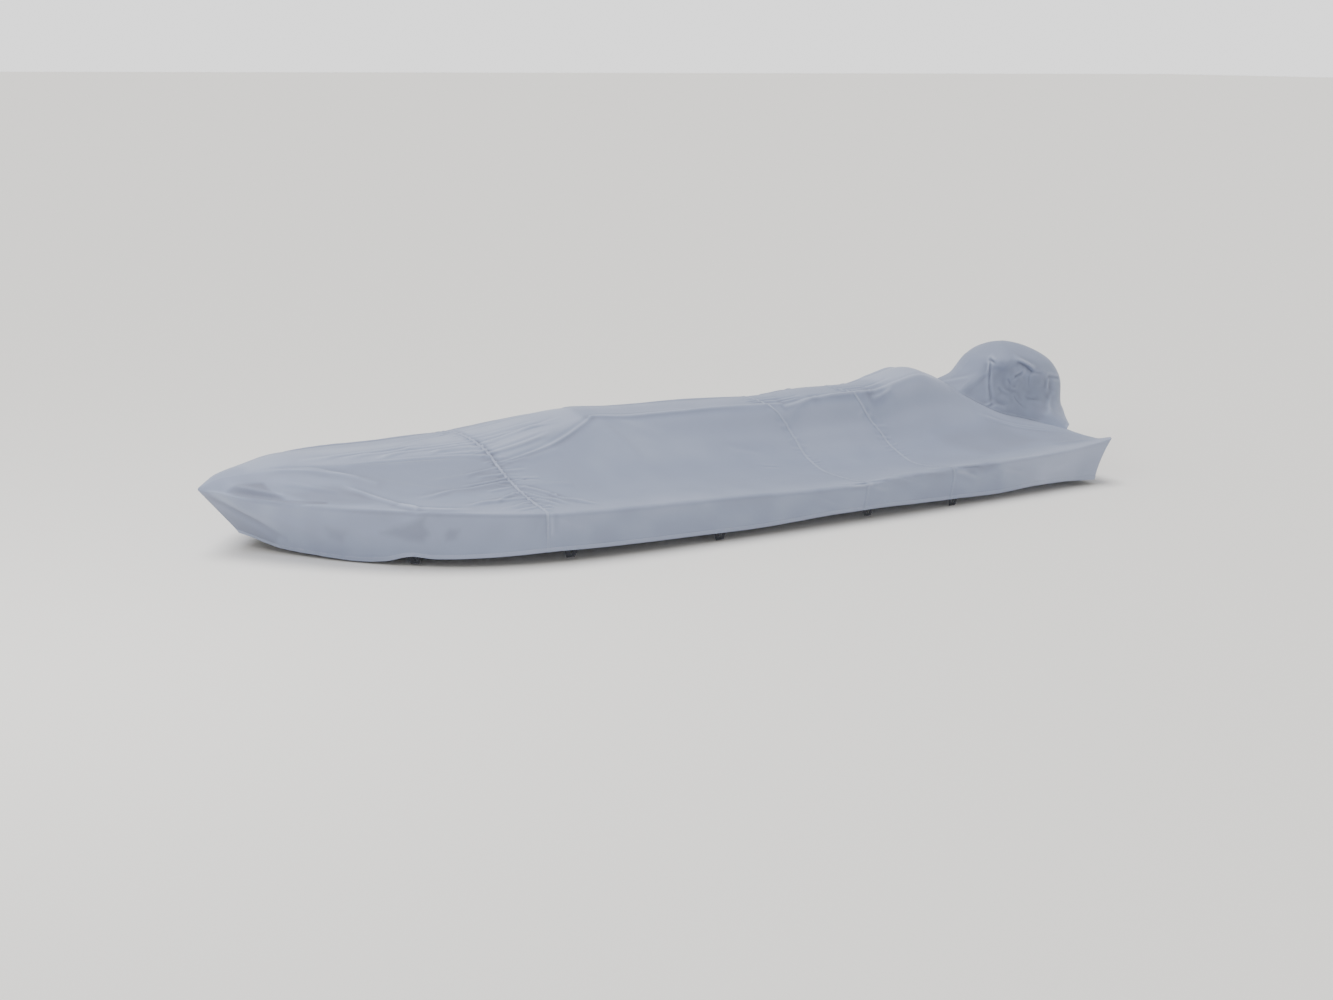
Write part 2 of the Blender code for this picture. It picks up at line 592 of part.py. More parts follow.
def hood_meridian(base):
    """Points from a base point over waist and shoulder to just before the apex."""
    azimuth = math.atan2(base[1], HOOD_MIDDLE - base[0])
    turn = math.degrees(abs(azimuth))
    direction = np.array([-math.cos(azimuth), math.sin(azimuth), 0.0])
    middle = np.array([HOOD_MIDDLE, 0.0, 0.0])
    up = np.array([0.0, 0.0, 1.0])
    waist = middle + direction * hood_value("waist_out", turn) + up * hood_value("waist", turn)
    shoulder = middle + direction * hood_value("shoulder_out", turn) \
        + up * hood_value("shoulder", turn)
    apex = np.array([HOOD_APEX[0], 0.0, HOOD_APEX[1]])
    knots = [base, waist, shoulder, apex]
    lengths = [0.0]
    for one, two in zip(knots, knots[1:]):
        lengths.append(lengths[-1] + float(np.linalg.norm(two - one)))
    shares = [s / lengths[-1] for s in lengths]
    over = apex + (apex - shoulder) * np.array([1.0, 1.0, -1.0])
    knots.append(over)
    shares.append(1.0 + (1.0 - shares[2]))
    out = []
    for k in range(HOOD_STEPS):
        at = k / HOOD_STEPS
        point = np.array([float(smooth_through(shares, [p[c] for p in knots], at))
                          for c in range(3)])
        grow = min(1.0, at / HOOD_FOLDS_FROM_FOOT)
        out.append(point + direction * grow * fold_height(HOOD_FOLDS, azimuth * HOOD_RADIUS, point[2]))
    return out


def hood_sheet(base_ring):
    sheet = Sheet()
    grid = []
    for foot, inner_foot in base_ring:
        meridian = hood_meridian(foot)
        grid.append([sheet.add(meridian[0], inner=inner_foot)])
        grid[-1] += [sheet.add(point) for point in meridian[1:]]
    apex = sheet.add((HOOD_APEX[0], 0.0, HOOD_APEX[1]))
    count = len(grid)
    for m in range(count):
        one = grid[m]
        two = grid[(m + 1) % count]
        for k in range(HOOD_STEPS - 1):
            sheet.quad(one[k], one[k + 1], two[k + 1], two[k])
        sheet.triangles.append((one[-1], apex, two[-1]))
    return sheet


# ---------------------------------------------------------------- the webbing loops
def loop_frame(x, side):
    """Place and directions of a loop, taken from the flat strip of skirt that it is sewn to."""
    folds = SKIRT_FOLDS_PORT if side < 0 else SKIRT_FOLDS_STARBOARD
    corners = []
    for edge in (x - LOOP_STRIP, x + LOOP_STRIP):
        depth = section_value("rim", edge) - hem_height(edge)
        normal = outward(edge, side)
        for step in SKIRT_STEPS[:2]:
            drop = depth + (roll_radius(edge) - depth) * step
            corners.append(skirt_point(edge, side, drop, folds, normal))
    hem = 0.5 * (corners[0] + corners[2])
    along = corners[2] - corners[0]
    along /= np.linalg.norm(along)
    up = 0.5 * (corners[1] + corners[3]) - hem
    up -= along * np.dot(up, along)
    up /= np.linalg.norm(up)
    return hem, along, up, np.cross(along, up) * -side


def loop_mesh(x, side):
    hem, along, up, out = loop_frame(x, side)
    if np.dot(out, outward(x, side)) < 0.0:
        out = -out
    face = hem - out * (CLOTH + LAID_GAP)
    back = face - out * WEBBING
    points = [start + along * u + up * v
              for start in (face, back) for outline in (LOOP_OUTLINE, LOOP_EYE)
              for u, v in outline]
    count = len(LOOP_OUTLINE)
    faces = []
    for k in range(count):
        n = (k + 1) % count
        faces.append((k, n, n + count, k + count))
        faces.append((k + 2 * count, k + 3 * count, n + 3 * count, n + 2 * count))
        faces.append((k, k + 2 * count, n + 2 * count, n))
        faces.append((k + count, n + count, n + 3 * count, k + 3 * count))
    if np.dot(np.cross(along, up), out) < 0.0:
        faces = [face_points[::-1] for face_points in faces]
    return points, faces


# ---------------------------------------------------------------- putting the cover together
def main():
    for old in list(bpy.data.objects):
        bpy.data.objects.remove(old, do_unlink=True)
    cloth = cloth_material()
    webbing = webbing_material()
    holder = bpy.data.objects.new("boat_cover", None)
    crown = deck_point(MOUNT_STATION, 1, 0.0)[2] - CLOTH
    holder.location = (-MOUNT_STATION, 0.0, -crown)
    bpy.context.collection.objects.link(holder)

    half_gap = 0.5 * SEW_GAP
    stern, stern_grid, stern_stations = stern_panel()
    sheets = {
        "panel_bow": bow_panel(),
        "panel_fore": plain_panel(FORE_ROWS, SEAMS[0] + half_gap, SEAMS[1] - half_gap,
                                  FINE_SIDE, COARSE_SIDE),
        "panel_mid": plain_panel(MID_ROWS, SEAMS[1] + half_gap, SEAMS[2] - half_gap,
                                 PLAIN_SIDE, PLAIN_SIDE),
        "panel_stern": stern,
        "stern_hood": hood_sheet(hood_base(stern, stern_grid, stern_stations)),
    }
    for name, sheet in sheets.items():
        points, faces = sheet.shell(CLOTH)
        add_object(name, points, faces, cloth, holder)
    for side, word in ((-1, "port"), (1, "starboard")):
        for number, x in enumerate(LOOP_STATIONS, start=1):
            points, faces = loop_mesh(x, side)
            add_object(f"loop_{word}_{number}", points, faces, webbing, holder)


main()
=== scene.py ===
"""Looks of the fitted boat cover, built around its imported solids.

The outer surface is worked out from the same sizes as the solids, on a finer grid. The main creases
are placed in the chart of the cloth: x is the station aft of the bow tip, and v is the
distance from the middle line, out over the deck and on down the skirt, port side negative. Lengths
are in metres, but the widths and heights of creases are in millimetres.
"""
import math
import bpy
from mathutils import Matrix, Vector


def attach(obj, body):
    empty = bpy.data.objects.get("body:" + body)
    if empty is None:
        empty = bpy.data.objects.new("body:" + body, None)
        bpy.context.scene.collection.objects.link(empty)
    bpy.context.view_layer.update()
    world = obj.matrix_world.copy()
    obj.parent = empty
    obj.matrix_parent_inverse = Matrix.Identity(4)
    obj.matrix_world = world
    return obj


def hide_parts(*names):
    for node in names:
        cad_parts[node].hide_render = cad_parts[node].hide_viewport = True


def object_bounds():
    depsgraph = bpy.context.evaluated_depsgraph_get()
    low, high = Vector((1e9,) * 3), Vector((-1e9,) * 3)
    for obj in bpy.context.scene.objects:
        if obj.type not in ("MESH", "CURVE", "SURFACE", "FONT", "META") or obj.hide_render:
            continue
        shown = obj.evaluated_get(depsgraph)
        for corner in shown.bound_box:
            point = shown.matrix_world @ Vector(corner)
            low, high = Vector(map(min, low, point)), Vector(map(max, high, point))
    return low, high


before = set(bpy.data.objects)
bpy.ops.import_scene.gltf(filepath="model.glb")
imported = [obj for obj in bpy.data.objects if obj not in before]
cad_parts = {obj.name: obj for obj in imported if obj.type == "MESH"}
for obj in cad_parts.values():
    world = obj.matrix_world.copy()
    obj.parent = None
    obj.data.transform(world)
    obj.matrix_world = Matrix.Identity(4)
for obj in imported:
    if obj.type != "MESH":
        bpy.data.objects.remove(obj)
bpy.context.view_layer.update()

from types import SimpleNamespace

import bpy
import numpy as np
from mathutils import Matrix, Vector

# ---------------------------------------------------------------- sizes shared with the solids
LENGTH = 4.90                # bow tip to the top of the stern end
HALF_BEAM = 0.977            # half of the widest plan width
WIDEST = 1.866               # station of the widest width
BOW_FULLNESS = 2.728         # exponent of the bow's plan curve
STERN_HALF = 0.849           # half width at the stern end
CORNER = 0.02                # plan radius of the stern corners
ROLL = 0.020                 # radius with which the cloth rolls over the rim
TIGHT_ROLL = 0.35            # share of that radius left at the bow tip and the stern end
TIGHT_WITHIN = 0.30          # length over which the roll tightens at either end
BOW_RAKE = 0.83              # run aft for each metre of drop at the bow tip
BOW_RAKE_END = 1.7           # station where that rake has died out
BOW_RAKE_FADE = 1.6          # exponent with which it dies out
STERN_RAKE = 0.80            # run forward for each metre of drop at the stern end
STERN_CURVE = 1.3            # how fast that rake eases with the square of the drop
STERN_RAKE_START = 4.3       # station where the stern rake begins
SKIRT_TUCK = 0.030           # how far the hem sits inside the rim
TUCK_FROM_BOW = 0.5          # lengths over which the tuck grows at the two ends
TUCK_FROM_STERN = 0.3
SOLID_CLOTH = 0.0026         # thickness of the solids' cloth
SEAMS = (1.36, 3.166, 3.738)
NOTCH = 4.36                 # station of the front of the hood's notch
MOUNT_STATION = 2.45
SLOPE_REACH = 0.002          # distance on either side over which the rim's direction is read

# Heights of the deck at each station, at the middle line and at shares of the half width.
SECTION_COLUMNS = ("x", "crown", "ridge_at", "ridge", "drop_at", "drop", "floor_at", "floor",
                   "rim")
SECTIONS = (
    (0, 0.103, 0.34, 0.103, 0.6, 0.103, 0.85, 0.103, 0.103),
    (0.1, 0.158, 0.34, 0.153, 0.6, 0.136, 0.85, 0.106, 0.095),
    (0.25, 0.19, 0.34, 0.177, 0.6, 0.148, 0.85, 0.1, 0.087),
    (0.42, 0.22, 0.32, 0.201, 0.58, 0.155, 0.85, 0.096, 0.083),
    (0.65, 0.214, 0.28, 0.199, 0.55, 0.148, 0.83, 0.092, 0.078),
    (0.95, 0.206, 0.27, 0.192, 0.52, 0.134, 0.8, 0.082, 0.066),
    (1.36, 0.23, 0.28, 0.205, 0.48, 0.132, 0.8, 0.062, 0.042),
    (1.7, 0.28, 0.2, 0.258, 0.4, 0.155, 0.76, 0.05, 0.029),
    (2, 0.312, 0.14, 0.294, 0.36, 0.16, 0.7, 0.04, 0.023),
    (2.25, 0.292, 0.14, 0.276, 0.34, 0.14, 0.68, 0.026, 0.017),
    (2.6, 0.284, 0.14, 0.272, 0.33, 0.108, 0.66, 0.004, 0.003),
    (2.95, 0.278, 0.14, 0.266, 0.32, 0.075, 0.62, -0.02, -0.009),
    (3.17, 0.285, 0.14, 0.262, 0.31, 0.055, 0.58, -0.032, -0.011),
    (3.35, 0.296, 0.14, 0.278, 0.3, 0.06, 0.57, -0.035, 0.003),
    (3.74, 0.3, 0.14, 0.278, 0.3, 0.055, 0.57, -0.036, 0.008),
    (3.92, 0.335, 0.14, 0.312, 0.3, 0.075, 0.57, -0.028, 0.006),
    (4.08, 0.368, 0.15, 0.342, 0.31, 0.105, 0.58, -0.015, 0.005),
    (4.2, 0.334, 0.16, 0.312, 0.33, 0.115, 0.6, -0.005, 0.006),
    (4.36, 0.248, 0.175, 0.226, 0.36, 0.108, 0.62, 0.004, 0.01),
    (4.48, 0.175, 0.23, 0.154, 0.4, 0.082, 0.64, 0.01, 0.013),
    (4.6, 0.118, 0.28, 0.098, 0.44, 0.058, 0.67, 0.013, 0.018),
    (4.75, 0.07, 0.33, 0.06, 0.5, 0.04, 0.71, 0.015, 0.027),
    (4.9, 0.026, 0.56, 0.02, 0.7, 0.012, 0.84, 0.012, 0.04),
)
HEM_COLUMNS = ("x", "hem")
HEM = (
    (0, -0.128), (0.06, -0.152), (0.13, -0.182), (0.28, -0.194), (0.45, -0.202), (0.55, -0.193),
    (0.7, -0.16), (0.8, -0.169), (1.1, -0.163), (1.4, -0.154), (1.62, -0.158), (2.05, -0.164),
    (2.5, -0.17), (2.75, -0.164), (3, -0.157), (3.24, -0.157), (3.5, -0.164), (3.8, -0.171),
    (4.06, -0.178), (4.35, -0.169), (4.55, -0.172), (4.75, -0.18), (4.9, -0.186),
)

# Broad folds, as the solids have them: soft ridges and troughs from (x0, y0) to (x1, y1).
FOLD_COLUMNS = ("x0", "y0", "x1", "y1", "width", "height")
DECK_FOLDS = (
    (0.16, -0.12, 0.6, -0.5, 0.05, -0.012),
    (0.55, -0.28, 1.2, -0.72, 0.045, 0.01),
    (0.4, -0.2, 1.34, -0.34, 0.03, 0.008),
    (0.6, -0.1, 1.34, -0.2, 0.028, 0.007),
    (0.95, -0.47, 1.34, -0.44, 0.024, 0.007),
    (1, -0.62, 1.34, -0.56, 0.024, 0.008),
    (1.06, -0.76, 1.34, -0.69, 0.022, 0.008),
    (1.12, -0.88, 1.34, -0.82, 0.022, 0.007),
    (1.38, -0.27, 1.8, -0.2, 0.026, 0.008),
    (1.38, -0.41, 1.74, -0.33, 0.024, 0.007),
    (1.38, -0.6, 1.66, -0.62, 0.024, 0.007),
    (1.38, -0.77, 1.64, -0.84, 0.022, 0.008),
    (1.99, -0.13, 2.18, -0.5, 0.06, 0.005),
    (2, -0.13, 3.05, -0.125, 0.03, 0.008),
    (3.4, -0.13, 3.78, -0.13, 0.028, 0.008),
    (3.86, -0.14, 4.16, -0.15, 0.03, 0.008),
    (0.45, 0.24, 1.34, 0.32, 0.034, 0.007),
    (1, 0.66, 1.34, 0.58, 0.03, 0.007),
    (1.38, 0.6, 1.68, 0.64, 0.03, 0.007),
    (2, 0.13, 3.05, 0.125, 0.034, 0.006),
    (3.86, 0.14, 4.16, 0.15, 0.034, 0.006),
)
FOLDS_FROM_BOW = 0.15        # lengths over which the deck's folds grow from the bow and the rim
FOLDS_FROM_RIM = 0.06
SKIRT_FOLDS = {
    -1: (
        (0.1, 0.02, 0.42, 0.22, 0.045, 0.008),
        (0.5, 0.16, 0.66, 0.1, 0.035, 0.009),
        (0.66, 0.1, 0.82, 0.15, 0.035, -0.007),
        (1.38, 0.02, 1.44, 0.16, 0.03, 0.008),
        (1.38, 0.02, 1.6, 0.1, 0.035, 0.007),
        (3.16, 0.03, 3.34, 0.12, 0.04, 0.007),
        (3.74, 0.02, 3.92, 0.13, 0.04, 0.008),
        (3.96, 0.02, 4.1, 0.1, 0.04, 0.006),
    ),
    1: (
        (0.5, 0.16, 0.7, 0.08, 0.04, 0.008),
        (1.36, 0.02, 1.48, 0.16, 0.04, 0.007),
        (3.2, 0.03, 3.36, 0.13, 0.045, 0.007),
    ),
}

# The hood, by degrees from straight ahead: how far its waist and shoulder stand out, and how high.
HOOD_MIDDLE = 4.78
HOOD_COLUMNS = ("azimuth", "waist_out", "waist", "shoulder_out", "shoulder")
HOOD = (
    (0, 0.345, 0.315, 0.205, 0.445),
    (30, 0.325, 0.3, 0.225, 0.428),
    (55, 0.27, 0.26, 0.235, 0.405),
    (90, 0.232, 0.23, 0.215, 0.38),
    (125, 0.275, 0.215, 0.245, 0.345),
    (150, 0.36, 0.215, 0.285, 0.345),
    (180, 0.4, 0.215, 0.3, 0.35),
)
# The hood's free rear edge: distance from the middle line, station and height.
REAR_EDGE = (
    (0.44, 4.935, 0.036), (0.35, 4.985, 0.06), (0.22, 5.068, 0.094), (0.11, 5.135, 0.104),
    (0, 5.16, 0.106),
)
HOOD_FOLDS = (
    (-0.16, 0.1, -0.15, 0.41, 0.034, -0.015),
    (-0.17, 0.25, -0.56, 0.2, 0.08, -0.024),
    (-0.15, 0.4, -0.44, 0.37, 0.036, 0.011),
    (-0.4, 0.375, -0.62, 0.27, 0.036, 0.01),
    (-0.28, 0.39, -0.44, 0.29, 0.03, -0.011),
    (0.17, 0.26, 0.52, 0.24, 0.08, -0.01),
)
HOOD_RADIUS = 0.26           # radius on which the hood's chart measures its arcs
HOOD_FOLDS_FROM_FOOT = 0.12
HOOD_SEAT = 0.008            # how far the hood's foot laps over the deck

LOOP_STATIONS = (0.70, 1.475, 2.292, 3.19, 3.756)
LOOP_STRIP = 0.038           # half length of the flat strip of hem behind a loop
LAID_GAP = 0.0006

# ---------------------------------------------------------------- sizes of the looks alone
CLOTH = 0.0014               # thickness of the cloth that shows
FELL = 0.011                 # width of a felled seam
FELL_RISE = 0.0019           # how far it stands proud
HEM_TURN = 0.022             # height of the turned hem
HEM_RISE = 0.0011
HEM_BEAD = 0.0022            # the rolled lower edge

# Creases that show in the cloth, listed: a bent line through three places of the chart, the width
# and height of the crest in millimetres, and how much of it is left at its start and at its end.
CREASE_COLUMNS = ("x0", "v0", "xm", "vm", "x1", "v1", "width", "height", "start", "end")
BOW_CREASES = (
    (1.36, -0.12, 1.18, -0.085, 0.92, -0.045, 11, 2.6, 1, 0),
    (1.355, -0.155, 1, -0.085, 0.8, -0.185, 11, 4.2, 1, 0.1),
    (1.36, -0.215, 1.22, -0.165, 1.06, -0.185, 10, 3.8, 1, 0),
    (1.345, -0.325, 0.98, -0.172, 0.64, -0.231, 14, 4.4, 1, 0.3),
    (1.355, -0.265, 1.24, -0.235, 1.12, -0.215, 9, 3, 1, 0),
    (1.1, -0.005, 0.86, -0.06, 0.48, -0.108, 13, 4.4, 0.2, 0.2),
    (1.12, -0.04, 0.9, -0.105, 0.66, -0.13, 12, 3.8, 0.2, 0.1),
    (0.25, -0.11, 0.42, -0.19, 0.66, -0.335, 14, 3.4, 0.1, 0.3),
    (1.36, -0.41, 1.23, -0.44, 1.14, -0.46, 9, 2.4, 1, 0),
    (1.35, -0.47, 1.28, -0.478, 1.2, -0.48, 9, 2.2, 1, 0),
    (1.35, -0.515, 1.21, -0.54, 1.1, -0.54, 9, 2.8, 1, 0),
    (1.34, -0.545, 1.09, -0.605, 0.82, -0.6, 11, 3, 1, 0),
    (1.34, -0.602, 1.26, -0.617, 1.19, -0.625, 9, 2.4, 1, 0),
    (1.35, -0.66, 1.25, -0.71, 1.16, -0.765, 9, 3, 1, 0.1),
    (1.35, -0.726, 1.16, -0.751, 1, -0.755, 10, 2.8, 1, 0),
    (1.355, -0.775, 1.3, -0.792, 1.23, -0.84, 9, 2.6, 1, 0.1),
    (1.355, -0.85, 1.29, -0.87, 1.2, -0.89, 9, 2.2, 1, 0),
    (0.4, -0.17, 0.58, -0.25, 0.72, -0.42, 14, 3.6, 0.2, 0.5),
    (0.56, -0.36, 0.69, -0.53, 0.79, -0.73, 13, 4.6, 0.1, 0.9),
    (0.74, -0.66, 0.83, -0.78, 1.02, -0.815, 13, 5, 0.6, 0.2),
    (0.3, -0.2, 0.46, -0.34, 0.6, -0.46, 16, 3, 0.1, 0.1),
    (0.105, -0.105, 0.19, -0.15, 0.37, -0.37, 15, 4.2, 0.2, 0.2),
    (0.1, -0.12, 0.24, -0.265, 0.38, -0.4, 26, -3.6, 0.3, 0.2),
    (0.018, -0.046, 0.062, -0.18, 0.19, -0.46, 11, -2.2, 0.4, 0.4),
    (0.05, -0.16, 0.1, -0.27, 0.16, -0.4, 22, -4, 0.2, 0.2),
    (0.84, -0.78, 0.74, -0.785, 0.62, -0.755, 17, 2.6, 0.3, 0.2),
    (0.84, -0.8, 0.87, -0.85, 0.88, -0.905, 17, 2.2, 0.2, 0.2),
    (0.5, 0.235, 0.54, 0.24, 1.34, 0.31, 12, 3, 0.6, 0.9),
    (1.355, 0.13, 1.2, 0.1, 1, 0.07, 10, 2.4, 1, 0),
    (1.355, 0.42, 1.22, 0.45, 1.1, 0.46, 10, 2.6, 1, 0),
    (1.355, 0.53, 1.18, 0.57, 0.98, 0.58, 10, 3, 1, 0),
    (1.355, 0.66, 1.22, 0.7, 1.1, 0.74, 10, 2.8, 1, 0),
    (1.355, 0.78, 1.26, 0.81, 1.16, 0.86, 9, 2.6, 1, 0),
    (0.58, 0.36, 0.72, 0.56, 0.86, 0.76, 14, 4, 0.1, 0.7),
    (0.02, 0.045, 0.075, 0.18, 0.225, 0.5, 12, 3.4, 0.4, 0.8),
    (0.66, 0.78, 0.74, 0.84, 0.84, 0.92, 14, 3.6, 0.6, 0.1),
)
FORE_CREASES = (
    (1.36, -0.061, 1.54, -0.058, 1.76, -0.062, 11, 2.6, 1, 0),
    (1.36, -0.105, 1.62, -0.12, 1.86, -0.123, 10, 2.4, 1, 0),
    (1.375, -0.168, 1.56, -0.14, 1.88, -0.078, 11, 3.4, 1, 0),
    (1.365, -0.378, 1.68, -0.335, 1.985, -0.152, 10, 3.6, 0.9, 0.8),
    (1.36, -0.292, 1.52, -0.29, 1.76, -0.212, 10, 3.8, 1, 0),
    (1.36, -0.395, 1.46, -0.385, 1.54, -0.365, 9, 2.2, 1, 0),
    (1.36, -0.44, 1.42, -0.446, 1.5, -0.45, 9, 2, 1, 0),
    (1.36, -0.52, 1.44, -0.53, 1.53, -0.55, 8, -3, 1, 0),
    (1.365, -0.6, 1.47, -0.65, 1.5, -0.73, 10, 4, 0.9, 0.9),
    (1.5, -0.73, 1.53, -0.82, 1.68, -0.885, 11, 3.8, 0.9, 0),
    (1.365, -0.66, 1.44, -0.77, 1.53, -0.86, 9, 3.4, 0.9, 0.1),
    (1.365, -0.74, 1.41, -0.79, 1.47, -0.85, 9, 3, 0.9, 0.1),
    (1.365, -0.81, 1.4, -0.85, 1.44, -0.9, 9, 2.6, 0.9, 0.1),
    (1.372, -0.96, 1.374, -1, 1.376, -1.08, 11, 2, 0.8, 0.1),
    (1.385, -0.968, 1.44, -1, 1.53, -1.06, 17, 3, 0.7, 0),
    (1.345, -0.97, 1.32, -1.01, 1.31, -1.06, 16, 1.8, 0.6, 0),
    (1.99, -0.143, 2.3, -0.147, 3.05, -0.125, 12, 4, 1, 0.5),
    (1.98, -0.15, 2.08, -0.24, 2.16, -0.42, 30, 3, 0.9, 0),
    (2, -0.14, 2.2, -0.19, 2.42, -0.3, 28, 2.2, 0.9, 0),
    (2.02, -0.1, 2.06, 0, 2.02, 0.1, 30, 1.4, 0.4, 0.4),
    (2.82, -0.47, 2.87, -0.48, 2.93, -0.483, 10, -1.8, 0.2, 0.2),
    (2.66, -0.31, 2.8, -0.33, 2.92, -0.36, 22, -1.8, 0.1, 0.1),
    (2.56, -0.975, 2.6, -1, 2.67, -1.04, 18, 2.6, 0.5, 0.1),
    (2.1, -1, 2.2, -1.05, 2.28, -1.13, 22, 2.6, 0.1, 0.3),
    (1.8, -1, 1.9, -1.04, 2, -1.12, 24, -2.4, 0.1, 0.2),
    (2.38, -0.99, 2.46, -1.06, 2.5, -1.13, 20, -2.6, 0.2, 0.2),
    (2.8, -0.985, 2.9, -1.03, 3.02, -1.08, 16, 2.8, 0.3, 0.1),
    (3.16, -0.06, 3.05, -0.055, 2.94, -0.058, 10, 2.2, 0.9, 0),
    (3.16, -0.095, 3.06, -0.088, 2.96, -0.083, 9, 2.4, 0.9, 0),
    (3.16, -0.132, 3.1, -0.13, 3.02, -0.127, 9, 2.4, 0.9, 0.2),
    (1.365, 0.12, 1.6, 0.125, 1.84, 0.12, 11, 2.6, 1, 0),
    (1.365, 0.29, 1.64, 0.26, 1.93, 0.17, 12, 3, 0.8, 0.1),
    (1.365, 0.4, 1.56, 0.38, 1.74, 0.32, 11, 2.8, 1, 0),
    (1.365, 0.55, 1.46, 0.58, 1.55, 0.63, 10, 3, 0.9, 0),
    (1.365, 0.7, 1.44, 0.77, 1.52, 0.86, 10, 3.2, 0.9, 0.1),
    (1.375, 0.96, 1.4, 1.02, 1.44, 1.1, 10, 3, 0.9, 0.1),
    (1.99, 0.143, 2.3, 0.147, 3.05, 0.125, 13, 3.4, 1, 0.4),
)
AFT_CREASES = (
    (3.17, -0.09, 3.24, -0.092, 3.32, -0.088, 9, 2.6, 1, 0),
    (3.17, -0.115, 3.22, -0.116, 3.29, -0.108, 8, 2.4, 1, 0),
    (3.17, -0.15, 3.25, -0.148, 3.38, -0.132, 10, 3, 0.9, 0.8),
    (3.14, -0.185, 3.23, -0.165, 3.34, -0.136, 14, 1.6, 0.4, 0.5),
    (3.37, -0.132, 3.58, -0.136, 3.74, -0.131, 11, 4, 0.8, 0.8),
    (3.74, -0.131, 3.9, -0.118, 4.2, -0.14, 12, 3.8, 0.8, 0.2),
    (3.73, -0.06, 3.62, -0.055, 3.52, -0.06, 9, 2.2, 0.9, 0),
    (3.73, -0.1, 3.64, -0.098, 3.55, -0.1, 9, 2.2, 0.9, 0),
    (3.745, -0.08, 3.84, -0.075, 3.94, -0.07, 10, 2.4, 0.9, 0),
    (3.745, -0.16, 3.82, -0.155, 3.9, -0.14, 10, 2.6, 0.9, 0),
    (3, -0.92, 3.09, -0.945, 3.17, -0.95, 9, -3, 0.2, 0.6),
    (3.05, -0.96, 3.11, -0.968, 3.18, -0.96, 9, 2.8, 0.3, 0.7),
    (3.19, -0.935, 3.24, -0.95, 3.31, -0.955, 10, -2.8, 0.6, 0.1),
    (3.17, -0.96, 3.22, -0.99, 3.3, -1.01, 15, 2.6, 0.7, 0.2),
    (3.3, -0.95, 3.36, -0.958, 3.45, -0.975, 14, 2.6, 0.4, 0.2),
    (3.38, -0.95, 3.45, -0.985, 3.57, -1.03, 19, 3.2, 0.4, 0.1),
    (3.52, -0.935, 3.6, -0.95, 3.7, -0.945, 13, 2.6, 0.3, 0.6),
    (3.76, -0.93, 3.84, -0.925, 3.92, -0.935, 10, -3, 0.6, 0.1),
    (3.75, -0.95, 3.81, -0.965, 3.9, -0.995, 14, 3, 0.8, 0.2),
    (3.9, -0.935, 4, -0.965, 4.1, -1, 19, 3.4, 0.5, 0.1),
    (4.05, -0.89, 4.22, -0.905, 4.44, -0.9, 24, 2.6, 0.2, 0.2),
    (4.02, -0.94, 4.12, -0.97, 4.26, -1, 16, 3, 0.3, 0.1),
    (4.3, -0.92, 4.42, -0.96, 4.6, -0.99, 22, 3, 0.1, 0.1),
    (4.5, -0.7, 4.66, -0.74, 4.84, -0.76, 30, 2.6, 0.1, 0.2),
    (3.9, -0.72, 4.2, -0.78, 4.56, -0.8, 34, 2.8, 0.1, 0.1),
    (4.4, -0.3, 4.55, -0.36, 4.78, -0.47, 12, 2.6, 0.2, 0.2),
    (4.44, -0.33, 4.58, -0.4, 4.8, -0.52, 12, 2.4, 0.2, 0.2),
    (3.17, 0.09, 3.25, 0.09, 3.34, 0.085, 10, 2.6, 1, 0),
    (3.17, 0.15, 3.25, 0.148, 3.38, 0.134, 11, 3.6, 0.9, 0.7),
    (3.37, 0.134, 3.58, 0.137, 3.74, 0.132, 12, 3.4, 0.7, 0.7),
    (3.74, 0.132, 3.9, 0.12, 4.2, 0.14, 13, 3.4, 0.8, 0.2),
    (3.17, 0.95, 3.24, 0.99, 3.32, 1.03, 13, 3.4, 0.9, 0.1),
    (3.74, 0.945, 3.8, 0.98, 3.9, 1.03, 13, 3.4, 0.9, 0.1),
)
